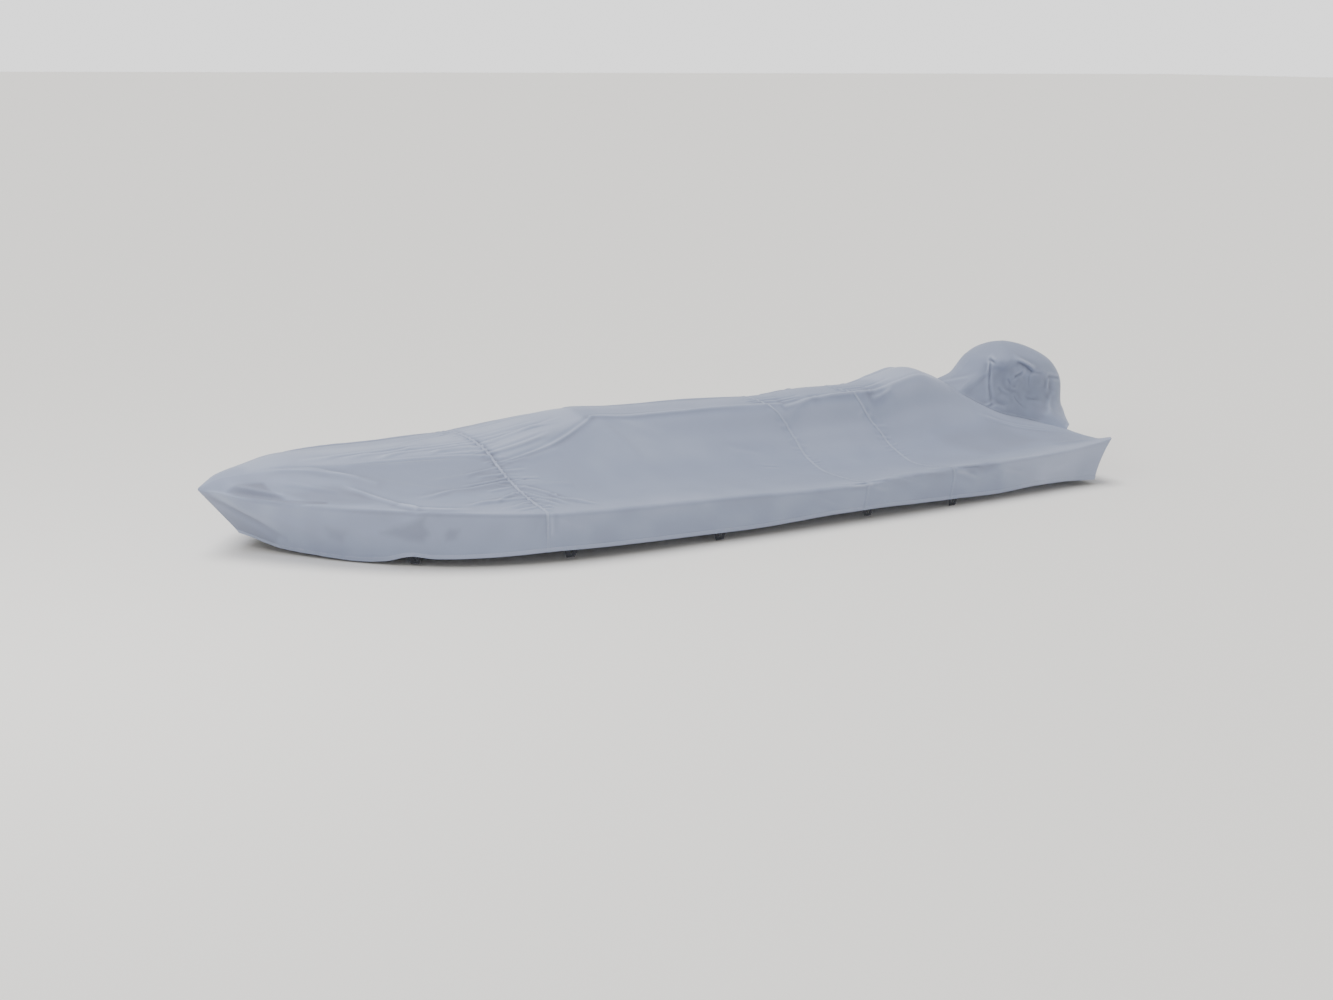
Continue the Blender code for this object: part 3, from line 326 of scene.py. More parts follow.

# Painted light and painted shade on parts of the cloth, listed: how much paler (below zero darker),
# how hollow, and how soft the edge.
AREA_COLUMNS = ("paler", "hollow", "soft", "outline")
AREAS = (
    (-1.05, 0.003, 0.008, (
        (0.095, -0.115), (0.156, -0.128), (0.256, -0.18), (0.275, -0.245), (0.31, -0.33),
        (0.36, -0.385), (0.46, -0.465), (0.45, -0.49), (0.345, -0.425), (0.25, -0.335),
        (0.19, -0.262), (0.13, -0.175))),
    (-0.85, 0, 0.012, (
        (0, 0), (0.018, -0.046), (0.059, -0.153), (0.172, -0.424), (0.08, -0.42), (-0.03, -0.3),
        (-0.03, 0))),
    (-0.6, 0.003, 0.024, (
        (0.392, -0.579), (0.463, -0.664), (0.419, -0.682), (0.379, -0.625))),
    (-0.7, 0.005, 0.02, (
        (0.815, -0.805), (0.8, -0.84), (0.806, -0.886), (0.771, -0.909), (0.697, -0.863),
        (0.639, -0.795), (0.605, -0.762), (0.69, -0.8))),
    (-0.75, 0.003, 0.019, (
        (0.876, -0.918), (0.904, -0.902), (0.946, -0.925), (0.92, -0.959), (0.875, -0.951))),
    (-0.4, 0, 0.04, (
        (0.62, -0.26), (0.98, -0.25), (1.3, -0.36), (1.33, -0.56), (1.1, -0.66), (0.8, -0.58),
        (0.66, -0.42))),
    (-0.75, 0, 0.03, (
        (0.33, -0.3), (0.56, -0.37), (0.64, -0.48), (0.66, -0.6), (0.5, -0.54), (0.4, -0.46))),
    (0.5, 0, 0.03, (
        (0.22, -0.08), (0.62, -0.215), (0.98, -0.195), (1.34, -0.29), (1.34, 0.12), (0.22, 0.06))),
    (0.7, 0, 0.025, (
        (1.38, -0.36), (1.68, -0.3), (1.95, -0.16), (1.95, 0.16), (1.38, 0.16))),
    (0.25, 0, 0.045, (
        (3.12, -0.14), (3.45, -0.14), (3.66, -0.15), (3.68, -0.28), (3.5, -0.34), (3.2, -0.34))),
    (0.9, 0, 0.04, (
        (3.84, -0.15), (4.25, -0.18), (4.25, 0.18), (3.84, 0.15))),
    (0.7, 0, 0.06, (
        (4.05, -0.92), (4.35, -0.86), (4.95, -0.8), (4.97, -1.2), (4.15, -1.2))),
    (-0.4, 0, 0.06, (
        (4.58, -0.45), (4.88, -0.45), (4.88, -0.8), (4.6, -0.78))),
    (-0.6, 0, 0.07, (
        (4.05, -0.35), (4.5, -0.35), (4.6, -0.62), (4.15, -0.7))),
    (-0.7, 0.003, 0.022, (
        (3.8, -0.935), (3.94, -0.92), (4.04, -0.93), (3.95, -0.965), (3.84, -0.965))),
)

# Short gathers beside each cross seam: its station, their count, reach, height (mm) and seed.
GATHERS = ((SEAMS[0], 46, 0.075, 2.2, 11), (SEAMS[1], 34, 0.05, 1.3, 12),
           (SEAMS[2], 34, 0.05, 1.1, 13))
GATHER_WIDTH = (5.0, 8.5)    # narrowest and widest, in millimetres
GATHER_PLACE = (0.1, 0.9)    # least and most of each, as shares of the pitch
GATHER_REACH = (0.45, 1.5)   # of the reach
GATHER_DRIFT = (-0.25, 0.25) # of the reach, sideways
GATHER_HEIGHT = (0.4, 1.25)  # and of the height
GATHER_BEND = 0.3            # share of the drift at the middle of a gather
GATHER_INSET = 0.02          # distance between the last gather and the rim

# Creases of the hood, in arc round it from straight ahead (port negative) and height.
HOOD_CREASES = (
    (-0.156, 0.38, -0.164, 0.29, -0.197, 0.15, 7, -3.6, 0.5, 0.6),
    (-0.153, 0.392, -0.168, 0.39, -0.188, 0.378, 9, -4.6, 0.8, 0.3),
    (-0.148, 0.38, -0.151, 0.35, -0.156, 0.322, 8, 3, 0.6, 0.2),
    (-0.345, 0.38, -0.4, 0.356, -0.462, 0.318, 14, -5.6, 0.6, 0.9),
    (-0.335, 0.402, -0.4, 0.384, -0.47, 0.346, 11, 4, 0.3, 0.4),
    (-0.335, 0.296, -0.362, 0.304, -0.392, 0.316, 8, -3.6, 0.8, 0.6),
    (-0.45, 0.3, -0.456, 0.262, -0.468, 0.225, 7.5, -1.5, 0.7, 0.1),
    (-0.462, 0.318, -0.5, 0.312, -0.536, 0.305, 7.5, -2.6, 0.8, 0.4),
    (-0.598, 0.281, -0.63, 0.272, -0.665, 0.262, 9, -3.8, 0.9, 0.9),
    (-0.592, 0.258, -0.588, 0.232, -0.578, 0.204, 10, 4.4, 0.8, 0.3),
    (-0.606, 0.185, -0.54, 0.15, -0.452, 0.09, 9, 2.6, 0.4, 0.4),
    (-0.33, 0.186, -0.345, 0.155, -0.39, 0.124, 7.5, -2, 0.8, 0.3),
    (-0.395, 0.308, -0.335, 0.302, -0.285, 0.256, 8, -1.7, 0.8, 0.3),
    (-0.28, 0.278, -0.292, 0.27, -0.3, 0.258, 8, -2, 0.8, 0.6),
    (-0.225, 0.236, -0.236, 0.226, -0.24, 0.212, 7.5, -1.7, 0.7, 0.3),
    (-0.31, 0.235, -0.33, 0.222, -0.352, 0.23, 8, 2.4, 0.5, 0.2),
    (-0.42, 0.18, -0.455, 0.165, -0.5, 0.17, 9, -2.6, 0.4, 0.2),
    (-0.208, 0.17, -0.24, 0.15, -0.285, 0.138, 15, -3.6, 0.4, 0.2),
    (-0.196, 0.165, -0.18, 0.15, -0.162, 0.15, 7, 2.6, 0.7, 0.2),
    (-0.24, 0.236, -0.268, 0.215, -0.3, 0.205, 10, 2, 0.3, 0.2),
    (0.02, 0.25, -0.03, 0.285, -0.09, 0.3, 10, 2, 0.3, 0.1),
    (-0.03, 0.3, 0.05, 0.325, 0.12, 0.335, 18, 1.8, 0.1, 0.1),
    (0.2, 0.36, 0.3, 0.34, 0.42, 0.3, 18, 2.2, 0.4, 0.2),
    (0.18, 0.4, 0.17, 0.3, 0.2, 0.18, 18, -2.2, 0.4, 0.2),
    (0.34, 0.35, 0.39, 0.27, 0.37, 0.18, 18, 2, 0.3, 0.1),
    (0.5, 0.3, 0.54, 0.23, 0.6, 0.16, 15, 2.6, 0.4, 0.2),
)
# Outline, in the hood's chart, of the slack port wall: it is hollow, and painted darker than the
# dome with painted shade.
HOOD_WALL = (
    (-0.103, 0.233), (-0.122, 0.28), (-0.158, 0.325), (-0.175, 0.355), (-0.245, 0.345),
    (-0.345, 0.372), (-0.462, 0.33), (-0.54, 0.3), (-0.612, 0.27), (-0.594, 0.169), (-0.466, 0.108),
    (-0.425, 0.05), (-0.3, 0.04), (-0.19, 0.04), (-0.1, 0.15),
)
HOOD_WALL_SOFT = 0.016       # half width of the zone in which the hollow begins
HOOD_TONE_SOFT = (0.006, 0.026)      # and of the darker zone's edge, low and high on the wall
HOOD_TONE_RISE = (0.30, 0.36)
HOOD_WALL_DEPTH = 0.007
HOOD_WALL_SHADE = 0.42
HOOD_FOOT_SHADE = 0.9        # extra painted shade on the wall's lowest strip
HOOD_FOOT_STRIP = 0.008
# How far the hood's cloth hangs inside and below the solid's waist and shoulder.
DOME_SLACK_COLUMNS = ("azimuth", "waist_in", "shoulder_in", "shoulder_down")
DOME_SLACK = (
    (-180, 0.004, 0.002, -0.014), (-150, 0.004, 0.002, -0.018), (-125, 0, 0, -0.016),
    (-90, 0, 0, 0), (-55, 0.014, 0.01, 0.01), (-30, 0.034, 0.02, 0.02), (0, 0.038, 0.02, 0.024),
    (30, 0.04, 0.022, 0.026), (60, 0.032, 0.024, 0.028), (90, 0.014, 0.02, 0.026),
    (125, 0.004, 0.01, 0.01), (150, 0.004, 0.004, -0.01), (180, 0.004, 0.002, -0.014),
)
DOME_TOP = (4.765, 0.0, 0.474)       # where the slack dome is highest

# Viewpoint of the photograph, worked out from the outline and the stations of the seams.
IMAGE_WIDTH = 1333
FOCAL_PIXELS = 1866.0
VIEW_AZIMUTH = -0.520        # radians; the camera looks aft and to starboard
VIEW_ELEVATION = 0.237
VIEW_ROLL = 0.009
VIEW_DISTANCE = 10.0
VIEW_TARGET = (2.526, 0.0, -0.233)
SENSOR = 36.0                # millimetres

UP = np.array([0.0, 0.0, 1.0])
TINY = 1e-12                 # least divisor


# ---------------------------------------------------------------- curves, tables and noise
def smooth_step(low, high, value):
    t = np.clip((value - low) / (high - low), 0.0, 1.0)
    return t * t * (3.0 - 2.0 * t)


def bell(across, middle, width):
    return np.exp(-((across - middle) / width) ** 2)


def unit(vectors):
    return vectors / np.maximum(np.linalg.norm(vectors, axis=-1, keepdims=True), TINY)


def run_along(points):
    """Distance of each point from the first along the line through them."""
    return np.concatenate([[0.0], np.cumsum(np.linalg.norm(np.diff(points, axis=0), axis=1))])


def smooth_through(knots, values, at):
    """Monotone cubic curve through the values, which never swings past them."""
    knots, values, at = (np.asarray(field, float) for field in (knots, values, at))
    step = np.diff(knots)
    slope = np.diff(values) / step
    tangent = np.zeros_like(values)
    for i in range(1, len(knots) - 1):
        if slope[i - 1] * slope[i] > 0.0:
            before = 2.0 * step[i] + step[i - 1]
            after = step[i] + 2.0 * step[i - 1]
            tangent[i] = (before + after) / (before / slope[i - 1] + after / slope[i])
    tangent[0] = slope[0]
    tangent[-1] = slope[-1]
    k = np.clip(np.searchsorted(knots, at) - 1, 0, len(knots) - 2)
    t = (at - knots[k]) / step[k]
    return ((1 + 2 * t) * (1 - t) ** 2 * values[k] + t * (1 - t) ** 2 * step[k] * tangent[k]
            + t * t * (3 - 2 * t) * values[k + 1] + t * t * (t - 1) * step[k] * tangent[k + 1])


def named_rows(rows, columns):
    return [dict(zip(columns, row)) for row in rows]


def read_table(rows, columns, name, at):
    table = np.array(rows)
    return smooth_through(table[:, 0], table[:, columns.index(name)], at)


def read_row(rows, columns, at):
    """Every column of a table at one place."""
    return {name: float(read_table(rows, columns, name, at)) for name in columns[1:]}


def section_value(name, x):
    return read_table(SECTIONS, SECTION_COLUMNS, name, x)


def hem_height(x):
    return read_table(HEM, HEM_COLUMNS, "hem", x)


def half_width(x):
    bow = HALF_BEAM * (1.0 - np.maximum(0.0, 1.0 - x / WIDEST) ** BOW_FULLNESS)
    aft = np.maximum(0.0, (x - WIDEST) / (LENGTH - WIDEST))
    into_corner = np.maximum(0.0, x - (LENGTH - CORNER))
    corner = CORNER - np.sqrt(np.maximum(0.0, CORNER ** 2 - into_corner ** 2))
    return bow - (HALF_BEAM - STERN_HALF) * aft ** 2 - corner


def outward(x, side):
    """Plan direction that points out of the cover at a rim point; side is -1 or 1."""
    if x <= 0.0 or x >= LENGTH:
        return np.array([math.copysign(1.0, x - 0.5 * LENGTH), 0.0, 0.0])
    low = max(0.0, x - SLOPE_REACH)
    high = min(LENGTH, x + SLOPE_REACH)
    slope = float(half_width(high) - half_width(low)) / (high - low)
    return unit(np.array([-slope, side, 0.0]))


def roll_radius(x):
    near_end = min(1.0, x / TIGHT_WITHIN, (LENGTH - x) / TIGHT_WITHIN)
    return ROLL * (TIGHT_ROLL + (1.0 - TIGHT_ROLL) * max(0.0, near_end))


def lean(x, drop):
    bow = BOW_RAKE * max(0.0, 1.0 - x / BOW_RAKE_END) ** BOW_RAKE_FADE
    stern = max(0.0, (x - STERN_RAKE_START) / (LENGTH - STERN_RAKE_START)) ** 2
    return bow * drop - stern * (STERN_RAKE * drop - STERN_CURVE * drop ** 2)


def fold_height(folds, u, v):
    """Sum of the broad folds at many places; each fades out at its two ends."""
    total = np.zeros(np.broadcast(u, v).shape)
    for fold in named_rows(folds, FOLD_COLUMNS):
        run_u = fold["x1"] - fold["x0"]
        run_v = fold["y1"] - fold["y0"]
        length = math.hypot(run_u, run_v)
        du = u - fold["x0"]
        dv = v - fold["y0"]
        along = (du * run_u + dv * run_v) / length ** 2
        across = (du * run_v - dv * run_u) / length
        fade = np.where((along >= 0.0) & (along <= 1.0), 1.0 - (2.0 * along - 1.0) ** 4, 0.0)
        total += fold["height"] * fade * bell(across, 0.0, fold["width"])
    return total


def nearest_on(line, u, v):
    """Distance from a bent line of straight pieces, and the share of it up to that place."""
    gap = np.full(u.shape, np.inf)
    along = np.zeros(u.shape)
    for k, ((u0, v0), (u1, v1)) in enumerate(zip(line, line[1:])):
        du = u1 - u0
        dv = v1 - v0
        inside = np.clip(((u - u0) * du + (v - v0) * dv) / (du ** 2 + dv ** 2), 0.0, 1.0)
        here = np.hypot(u - u0 - inside * du, v - v0 - inside * dv)
        along = np.where(here < gap, (k + inside) / (len(line) - 1), along)
        gap = np.minimum(gap, here)
    return gap, along


# The creases are drawn narrower and higher than the tables have them, to show in soft light.
CREASE_SPREAD = 0.85e-3      # metres for each millimetre of width
CREASE_LIFT = 1.7e-3         # and of height
CREASE_PIECES = 12           # straight pieces that stand for a bent crease
CREASE_REACH = 6.0           # widths from a crease beyond which it is left out
CREASE_END = 0.3             # share of its length over which a crease fades at each end
END_SPREAD = 0.7             # how much wider it is where it has faded
VALLEY_SHARE = 0.34          # depth of the valleys beside a crest, as a share of its height
VALLEY_AT = 1.9              # their place, in widths of the crest
VALLEY_WIDTH = 1.5
LINE_WIDTH = 0.75            # width of the pale line on a crest, painted highlight and wear, in widths of the crest
LINE_FULL = 0.0042           # height of a crest whose pale line is full
LINE_SHADE = 0.55            # how much darker the cloth is beside the line: painted shade
SHARP_WIDTH = 0.0095         # a crest this wide has its pale line in full
SOFT_WIDTH = 0.0150          # and one this wide has none


def crease_fields(creases, u, v):
    """Height of the creases at many places of a chart, and the tone painted on them: a pale line on
    each crest, painted highlight and wear, with painted shade beside it.
    """
    total = np.zeros(u.shape)
    worn = np.zeros(u.shape)
    t = np.linspace(0.0, 1.0, CREASE_PIECES + 1)
    for crease in named_rows(creases, CREASE_COLUMNS):
        width = crease["width"] * CREASE_SPREAD
        height = crease["height"] * CREASE_LIFT
        line = np.stack([(1 - t) ** 2 * crease[a + "0"] + 2 * t * (1 - t) * crease[a + "m"]
                         + t ** 2 * crease[a + "1"] for a in ("x", "v")], axis=1)
        low = line.min(axis=0) - CREASE_REACH * width
        high = line.max(axis=0) + CREASE_REACH * width
        near = (u > low[0]) & (u < high[0]) & (v > low[1]) & (v < high[1])
        if not near.any():
            continue
        gap, along = nearest_on(line.tolist(), u[near], v[near])
        rise, fall = (crease[end] + (1.0 - crease[end]) * smooth_step(0.0, CREASE_END, share)
                      for end, share in (("start", along), ("end", 1.0 - along)))
        spread = width * (1.0 + END_SPREAD * (1.0 - np.minimum(rise, fall)))
        valley = bell(gap, VALLEY_AT * spread, VALLEY_WIDTH * spread)
        total[near] += height * rise * fall * (bell(gap, 0.0, spread) - VALLEY_SHARE * valley)
        sharp = 1.0 - smooth_step(SHARP_WIDTH, SOFT_WIDTH, width)
        # pale line on the crest (painted highlight and wear), painted shade in the valleys beside
        # it
        line = bell(gap, 0.0, LINE_WIDTH * spread) - LINE_SHADE * valley
        worn[near] += height / LINE_FULL * sharp * rise * fall * line
    return total, worn


def inside_outline(outline, u, v, soft):
    """One well inside an outline and zero well outside it, with a soft edge."""
    closed = outline[-1:] + outline
    inside = np.zeros(u.shape, dtype=bool)
    for (u0, v0), (u1, v1) in zip(closed, closed[1:]):
        crosses = (v0 > v) != (v1 > v)
        inside ^= crosses & (u < (u1 - u0) * (v - v0) / ((v1 - v0) or TINY) + u0)
    gap = nearest_on(closed, u, v)[0]
    return smooth_step(-soft, soft, np.where(inside, gap, -gap))


NOISE_SIZE = 97              # cells after which the noise repeats
NOISE_START = (41.0, 43.0)   # its cell at the chart's zero


def soft_noise(u, v, cell, seed):
    """Smooth noise between -1 and 1 over a chart, with cells of the given size."""
    size = NOISE_SIZE
    lattice = np.random.default_rng(seed).uniform(-1.0, 1.0, (size, size))
    gu = u / cell + NOISE_START[0]
    gv = v / cell + NOISE_START[1]
    iu = np.floor(gu).astype(int)
    iv = np.floor(gv).astype(int)
    tu = smooth_step(0.0, 1.0, gu - iu)
    tv = smooth_step(0.0, 1.0, gv - iv)
    low, high = (lattice[(iu + a) % size, iv % size] * (1.0 - tv)
                 + lattice[(iu + a) % size, (iv + 1) % size] * tv for a in (0, 1))
    return low * (1.0 - tu) + high * tu


def seam_gathers(station, count, reach, height, seed):
    """Short gathers on both sides of a seam, uneven in place, reach and height."""
    draw = np.random.default_rng(seed)
    rows = []
    half = float(half_width(station)) - GATHER_INSET
    for k in range(count):
        for direction in (-1.0, 1.0):
            place = -half + 2.0 * half * (k + draw.uniform(*GATHER_PLACE)) / count
            far = reach * draw.uniform(*GATHER_REACH)
            drift = draw.uniform(*GATHER_DRIFT) * far
            rows.append((station, place, station + direction * far * 0.5,
                         place + GATHER_BEND * drift, station + direction * far, place + drift,
                         draw.uniform(*GATHER_WIDTH), height * draw.uniform(*GATHER_HEIGHT),
                         1.0, 0.0))
    return rows


def crown_height():
    """Height of the deck's outer side over the mount."""
    here = np.array([MOUNT_STATION])
    return float(section_value("crown", here)[0] + fold_height(DECK_FOLDS, here, 0.0 * here)[0])


SHIFT = np.array([-MOUNT_STATION, 0.0, SOLID_CLOTH - crown_height()])


# ---------------------------------------------------------------- the fine grid of the cover
HEM_HEIGHTS = (0.0, 0.0016, 0.0035, 0.0065, 0.0105, 0.0145, 0.0180, 0.0205, 0.0216, 0.0230, 0.0265)
SKIRT_COLUMNS = 28
ROLL_COLUMNS = 6
SIDE_COLUMNS = {-1: 136, 1: 62}                  # from the rim to the ridge, port and starboard
RIDGE_COLUMNS = {-1: 34, 1: 18}                  # from the ridge to the middle line
EDGE = SKIRT_COLUMNS + ROLL_COLUMNS - 1          # column of the deck's edge
RIDGE_PORT = EDGE + SIDE_COLUMNS[-1]
RIDGE_STARBOARD = RIDGE_PORT + RIDGE_COLUMNS[-1] + RIDGE_COLUMNS[1]
COLUMNS = RIDGE_STARBOARD + SIDE_COLUMNS[1] + EDGE + 1
FELL_ROWS = (-0.018, -FELL, -FELL + 0.0007, -FELL + 0.0018, -0.0075, -0.005, -0.0025, 0.0, 0.0025,
             0.005, 0.009, 0.0145)
SPAN_COLUMNS = ("first", "last", "pitch")
SPANS = ((0.0, 0.06, 0.010), (0.06, 1.75, 0.0095), (1.75, 3.10, 0.0146), (3.10, 4.86, 0.0105),
         (4.86, LENGTH, 0.005))
EASE = 0.09                  # how far along the half width the slope's foot is rounded
EASE_STEPS = (-1.0, -0.5, 0.0, 0.5, 1.0)
EASE_FROM = 0.04             # share of the half width past the ridge where that begins
EASE_OUT = (0.75, 0.9)       # shares between which it ends
SEAM_CLEAR = 0.021           # distance from a seam within which only its own rows are kept
NOTCH_CLEAR = 0.004


def drops_below_rim(depth, roll):
    """Drops of the skirt's columns from the hem up, with fixed steps in the turned hem."""
    rest = np.linspace(HEM_HEIGHTS[-1], depth - roll, SKIRT_COLUMNS - len(HEM_HEIGHTS) + 1)[1:]
    return depth - np.concatenate([HEM_HEIGHTS, rest])


def deck_side(x, side):
    """Points of the deck at one station, from the rim in to the middle line."""
    here = read_row(SECTIONS, SECTION_COLUMNS, x)
    ridge = here["ridge_at"]
    fractions = np.linspace(1.0, ridge, SIDE_COLUMNS[side] + 1)
    fractions = np.concatenate([fractions, np.linspace(ridge, 0.0, RIDGE_COLUMNS[side] + 1)[1:]])
    at = [-ridge, 0.0, ridge, here["drop_at"], here["floor_at"], 1.0]
    heights = [here[name] for name in ("ridge", "crown", "ridge", "drop", "floor", "rim")]
    z = smooth_through(at, heights, fractions)
    eased = sum(smooth_through(at, heights, np.clip(fractions + step * EASE, 0.0, 1.0))
                for step in EASE_STEPS) / len(EASE_STEPS)
    slope = smooth_step(ridge + EASE_FROM, here["drop_at"], fractions)
    z = z + slope * (1.0 - smooth_step(*EASE_OUT, fractions)) * (eased - z)
    half = float(half_width(x))
    roll = roll_radius(x)
    normal = outward(x, side)
    edge = np.array([x - normal[0] * roll, side * half - normal[1] * roll])
    if half < 2.0 * roll:
        share = half / (2.0 * roll)
        edge = np.array([x + roll, 0.0]) * (1.0 - share) + edge * share
    y = edge[1] * fractions
    fade = min(1.0, x / FOLDS_FROM_BOW) * np.minimum(1.0, (1.0 - fractions) / FOLDS_FROM_RIM)
    z = z + fade * fold_height(DECK_FOLDS, x, y)
    return np.stack([x + (edge[0] - x) * fractions ** 2, y, z], axis=1)


def skirt_points(x, side, drops):
    """Points of the skirt at one station, by their drops below the rim."""
    rim = float(section_value("rim", x))
    share = drops / (rim - float(hem_height(x)))
    inward = SKIRT_TUCK * share * min(1.0, x / TUCK_FROM_BOW, (LENGTH - x) / TUCK_FROM_STERN)
    bulge = fold_height(SKIRT_FOLDS[side], x, drops)
    bulge *= np.sin(math.pi * np.clip(share, 0.0, 1.0)) ** 0.5
    middle = np.full(len(drops), side * float(half_width(x)))
    points = np.stack([x + lean(x, drops), middle, rim - drops], axis=1)
    return points + outward(x, side) * (bulge - inward)[:, None]


def roll_over(start, low, rise, turns):
    """Points of a quarter turn from a place on the skirt to the deck's edge above low."""
    return low + (start - low) * np.cos(turns)[:, None] + rise * UP * np.sin(turns)[:, None]


def half_row(x, side):
    """One side of a row from the hem up: points, chart, height above the hem and pattern."""
    deck = deck_side(x, side)
    half = float(half_width(x))
    depth = float(section_value("rim", x)) - float(hem_height(x))
    roll = roll_radius(x)
    drops = drops_below_rim(depth, roll)
    skirt = skirt_points(x, side, drops)
    start = skirt[-1]
    low = np.array([deck[0, 0], deck[0, 1], start[2]])
    steps = np.arange(1, ROLL_COLUMNS) / ROLL_COLUMNS
    rolled = roll_over(start, low, deck[0, 2] - start[2], 0.5 * math.pi * steps)
    beyond = np.concatenate([drops, roll - 2.0 * roll * steps])
    normal = outward(x, side)
    pattern = np.stack([x + normal[0] * beyond, side * half + normal[1] * beyond], axis=1)
    on_deck = np.stack([np.full(len(deck), x), deck[:, 1]], axis=1)
    return (np.concatenate([skirt, rolled, deck]),
            np.concatenate([side * (half + beyond), deck[:, 1]]),
            np.concatenate([depth - beyond, depth + half - np.abs(deck[:, 1])]),
            np.concatenate([pattern, on_deck]))


def stations():
    """Stations of the rows: close together where creases are, with the seams' own rows."""
    rows = {0.0, LENGTH}
    for span in named_rows(SPANS, SPAN_COLUMNS):
        count = round((span["last"] - span["first"]) / span["pitch"])
        rows |= {round(span["first"] + (span["last"] - span["first"]) * k / count, 5)
                 for k in range(count + 1)}
    for seam in SEAMS:
        rows = {x for x in rows if abs(x - seam) > SEAM_CLEAR}
        rows |= {round(seam + offset, 5) for offset in FELL_ROWS}
    return np.array(sorted({x for x in rows if abs(x - NOTCH) > NOTCH_CLEAR} | {NOTCH}))


# How far the second and third seams run forward of their stations, by distance from the middle.
SEAM_SHIFT_COLUMNS = ("out", "second", "third")
SEAM_SHIFT = (
    (0, -0.12, -0.17), (0.06, -0.112, -0.15), (0.1, -0.1, -0.126), (0.15, -0.078, -0.095),
    (0.19, -0.038, -0.066), (0.23, -0.012, -0.038), (0.3, 0.004, -0.004), (0.43, 0.006, 0.008),
    (0.6, -0.008, -0.024), (0.73, -0.02, -0.056), (0.85, -0.026, -0.062), (0.93, 0, -0.01),
    (0.98, 0, 0),
)
SHIFT_SPAN = (2.5, SEAMS[1], SEAMS[2], 4.3)      # where the shift begins, is full and ends


def seam_shift(x, out):
    """Shift of the cloth's rows, so that the two seams follow their curves."""
    total = 0.0
    out = np.clip(out, 0.0, SEAM_SHIFT[-1][0])
    for k, name in enumerate(SEAM_SHIFT_COLUMNS[1:]):
        shift = read_table(SEAM_SHIFT, SEAM_SHIFT_COLUMNS, name, out)
        before, here, after = SHIFT_SPAN[k:k + 3]
        total = total + shift * smooth_step(before, here, x) * (1.0 - smooth_step(here, after, x))
    return total


def slide_rows(rows, field, places):
    """Values of a field with each column read at its own places along the rows."""
    at = np.interp(places, rows, np.arange(len(rows)))
    low = np.clip(np.floor(at).astype(int), 0, len(rows) - 2)
    share = (at - low).reshape(at.shape + (1,) * (field.ndim - 2))
    column = np.arange(field.shape[1])[None]
    return field[low, column] * (1.0 - share) + field[low + 1, column] * share


class Grid(SimpleNamespace):
    """Rows of points with their stations, chart, height above the hem, cut pattern, and painted
    light and wear.
    """

    def part(self, first, last):
        return Grid(**{name: field[first:last + 1].copy() for name, field in vars(self).items()})

    def row_at(self, x):
        return int(np.argmin(np.abs(self.rows - x)))

    def index(self):
        return np.arange(len(self.rows) * COLUMNS).reshape(-1, COLUMNS)


def cover_grid():
    """The whole cover, with a row for each station and columns from the port hem to starboard."""
    rows = stations()
    lists = [[np.concatenate([port, starboard[::-1][1:]])
              for port, starboard in zip(half_row(x, -1), half_row(x, 1))] for x in rows.tolist()]
    fields = [np.array(field) for field in zip(*lists)]
    nominal = np.repeat(rows[:, None], COLUMNS, axis=1)
    places = nominal + seam_shift(nominal, np.abs(fields[1]))
    points, chart, above, pattern = (slide_rows(rows, field, places) for field in fields)
    return Grid(rows=rows, points=points, chart_x=places, chart_v=chart, above_hem=above,
                pattern=pattern)


def grid_normals(points):
    """Normals of a grid that runs aft along its rows and from port to starboard across them."""
    return unit(np.cross(np.gradient(points, axis=0), np.gradient(points, axis=1)))


# ---------------------------------------------------------------- relief of the cloth
RIM_EASE = 0.005             # how much the stern's rim is flattened
RIM_EASE_WIDTH = 0.030
RIM_EASE_SPAN = (3.6, 4.2)   # stations between which that begins
WAVE_COLUMNS = ("cell", "height", "seed")
WAVES = ((0.36, 0.0016, 21), (0.16, 0.0008, 22), (0.07, 0.0004, 23), (0.035, 0.00018, 24))
PUCKER_CELL = 0.019
PUCKER_HEIGHT = 0.0008
PUCKER_REACH = 0.045
BOW_CALM = 0.07              # length behind the bow tip over which the relief grows
STERN_CALM = 0.05
LOOP_CALM = 0.055            # length beside a loop over which the hem is nearly plain
LOOP_CALM_SHARE = 0.85
LOOP_CALM_UP = (0.03, 0.08)  # heights above the hem between which that ends
PUCKER_SEED = 31


def wave_height(u, v):
    return sum(wave["height"] * soft_noise(u, v, wave["cell"], wave["seed"])
               for wave in named_rows(WAVES, WAVE_COLUMNS))


def cloth_relief(grid):
    """Height of creases, gathers, waves and puckers over the plain draped surface, and the painted
    light, painted shade and wear on them.
    """
    x = grid.chart_x
    v = grid.chart_v
    total, worn = crease_fields(BOW_CREASES + FORE_CREASES + AFT_CREASES, x, v)
    nominal = np.repeat(grid.rows[:, None], COLUMNS, axis=1)
    for row in GATHERS:
        gathers, more = crease_fields(seam_gathers(*row), nominal, v)
        total += gathers
        worn += more
    # painted light and painted shade of the listed areas
    for area in named_rows(AREAS, AREA_COLUMNS):
        inside = inside_outline(area["outline"], x, v, area["soft"])
        total -= area["hollow"] * inside
        worn += area["paler"] / CREST_TONE * inside
    total += wave_height(x, v)
    total -= (RIM_EASE * bell(np.abs(v), half_width(x), RIM_EASE_WIDTH)
              * smooth_step(*RIM_EASE_SPAN, x))
    pucker = soft_noise(x, np.sign(v), PUCKER_CELL, PUCKER_SEED)
    total += PUCKER_HEIGHT * pucker * np.exp(-np.maximum(grid.above_hem, 0.0) / PUCKER_REACH)
    total *= np.clip(x / BOW_CALM, 0.0, 1.0) * (1.0 - smooth_step(LENGTH - STERN_CALM, LENGTH, x))
    low = 1.0 - smooth_step(*LOOP_CALM_UP, grid.above_hem)
    for station in LOOP_STATIONS:
        total *= 1.0 - LOOP_CALM_SHARE * bell(x, station, LOOP_CALM) * low
    return total, worn


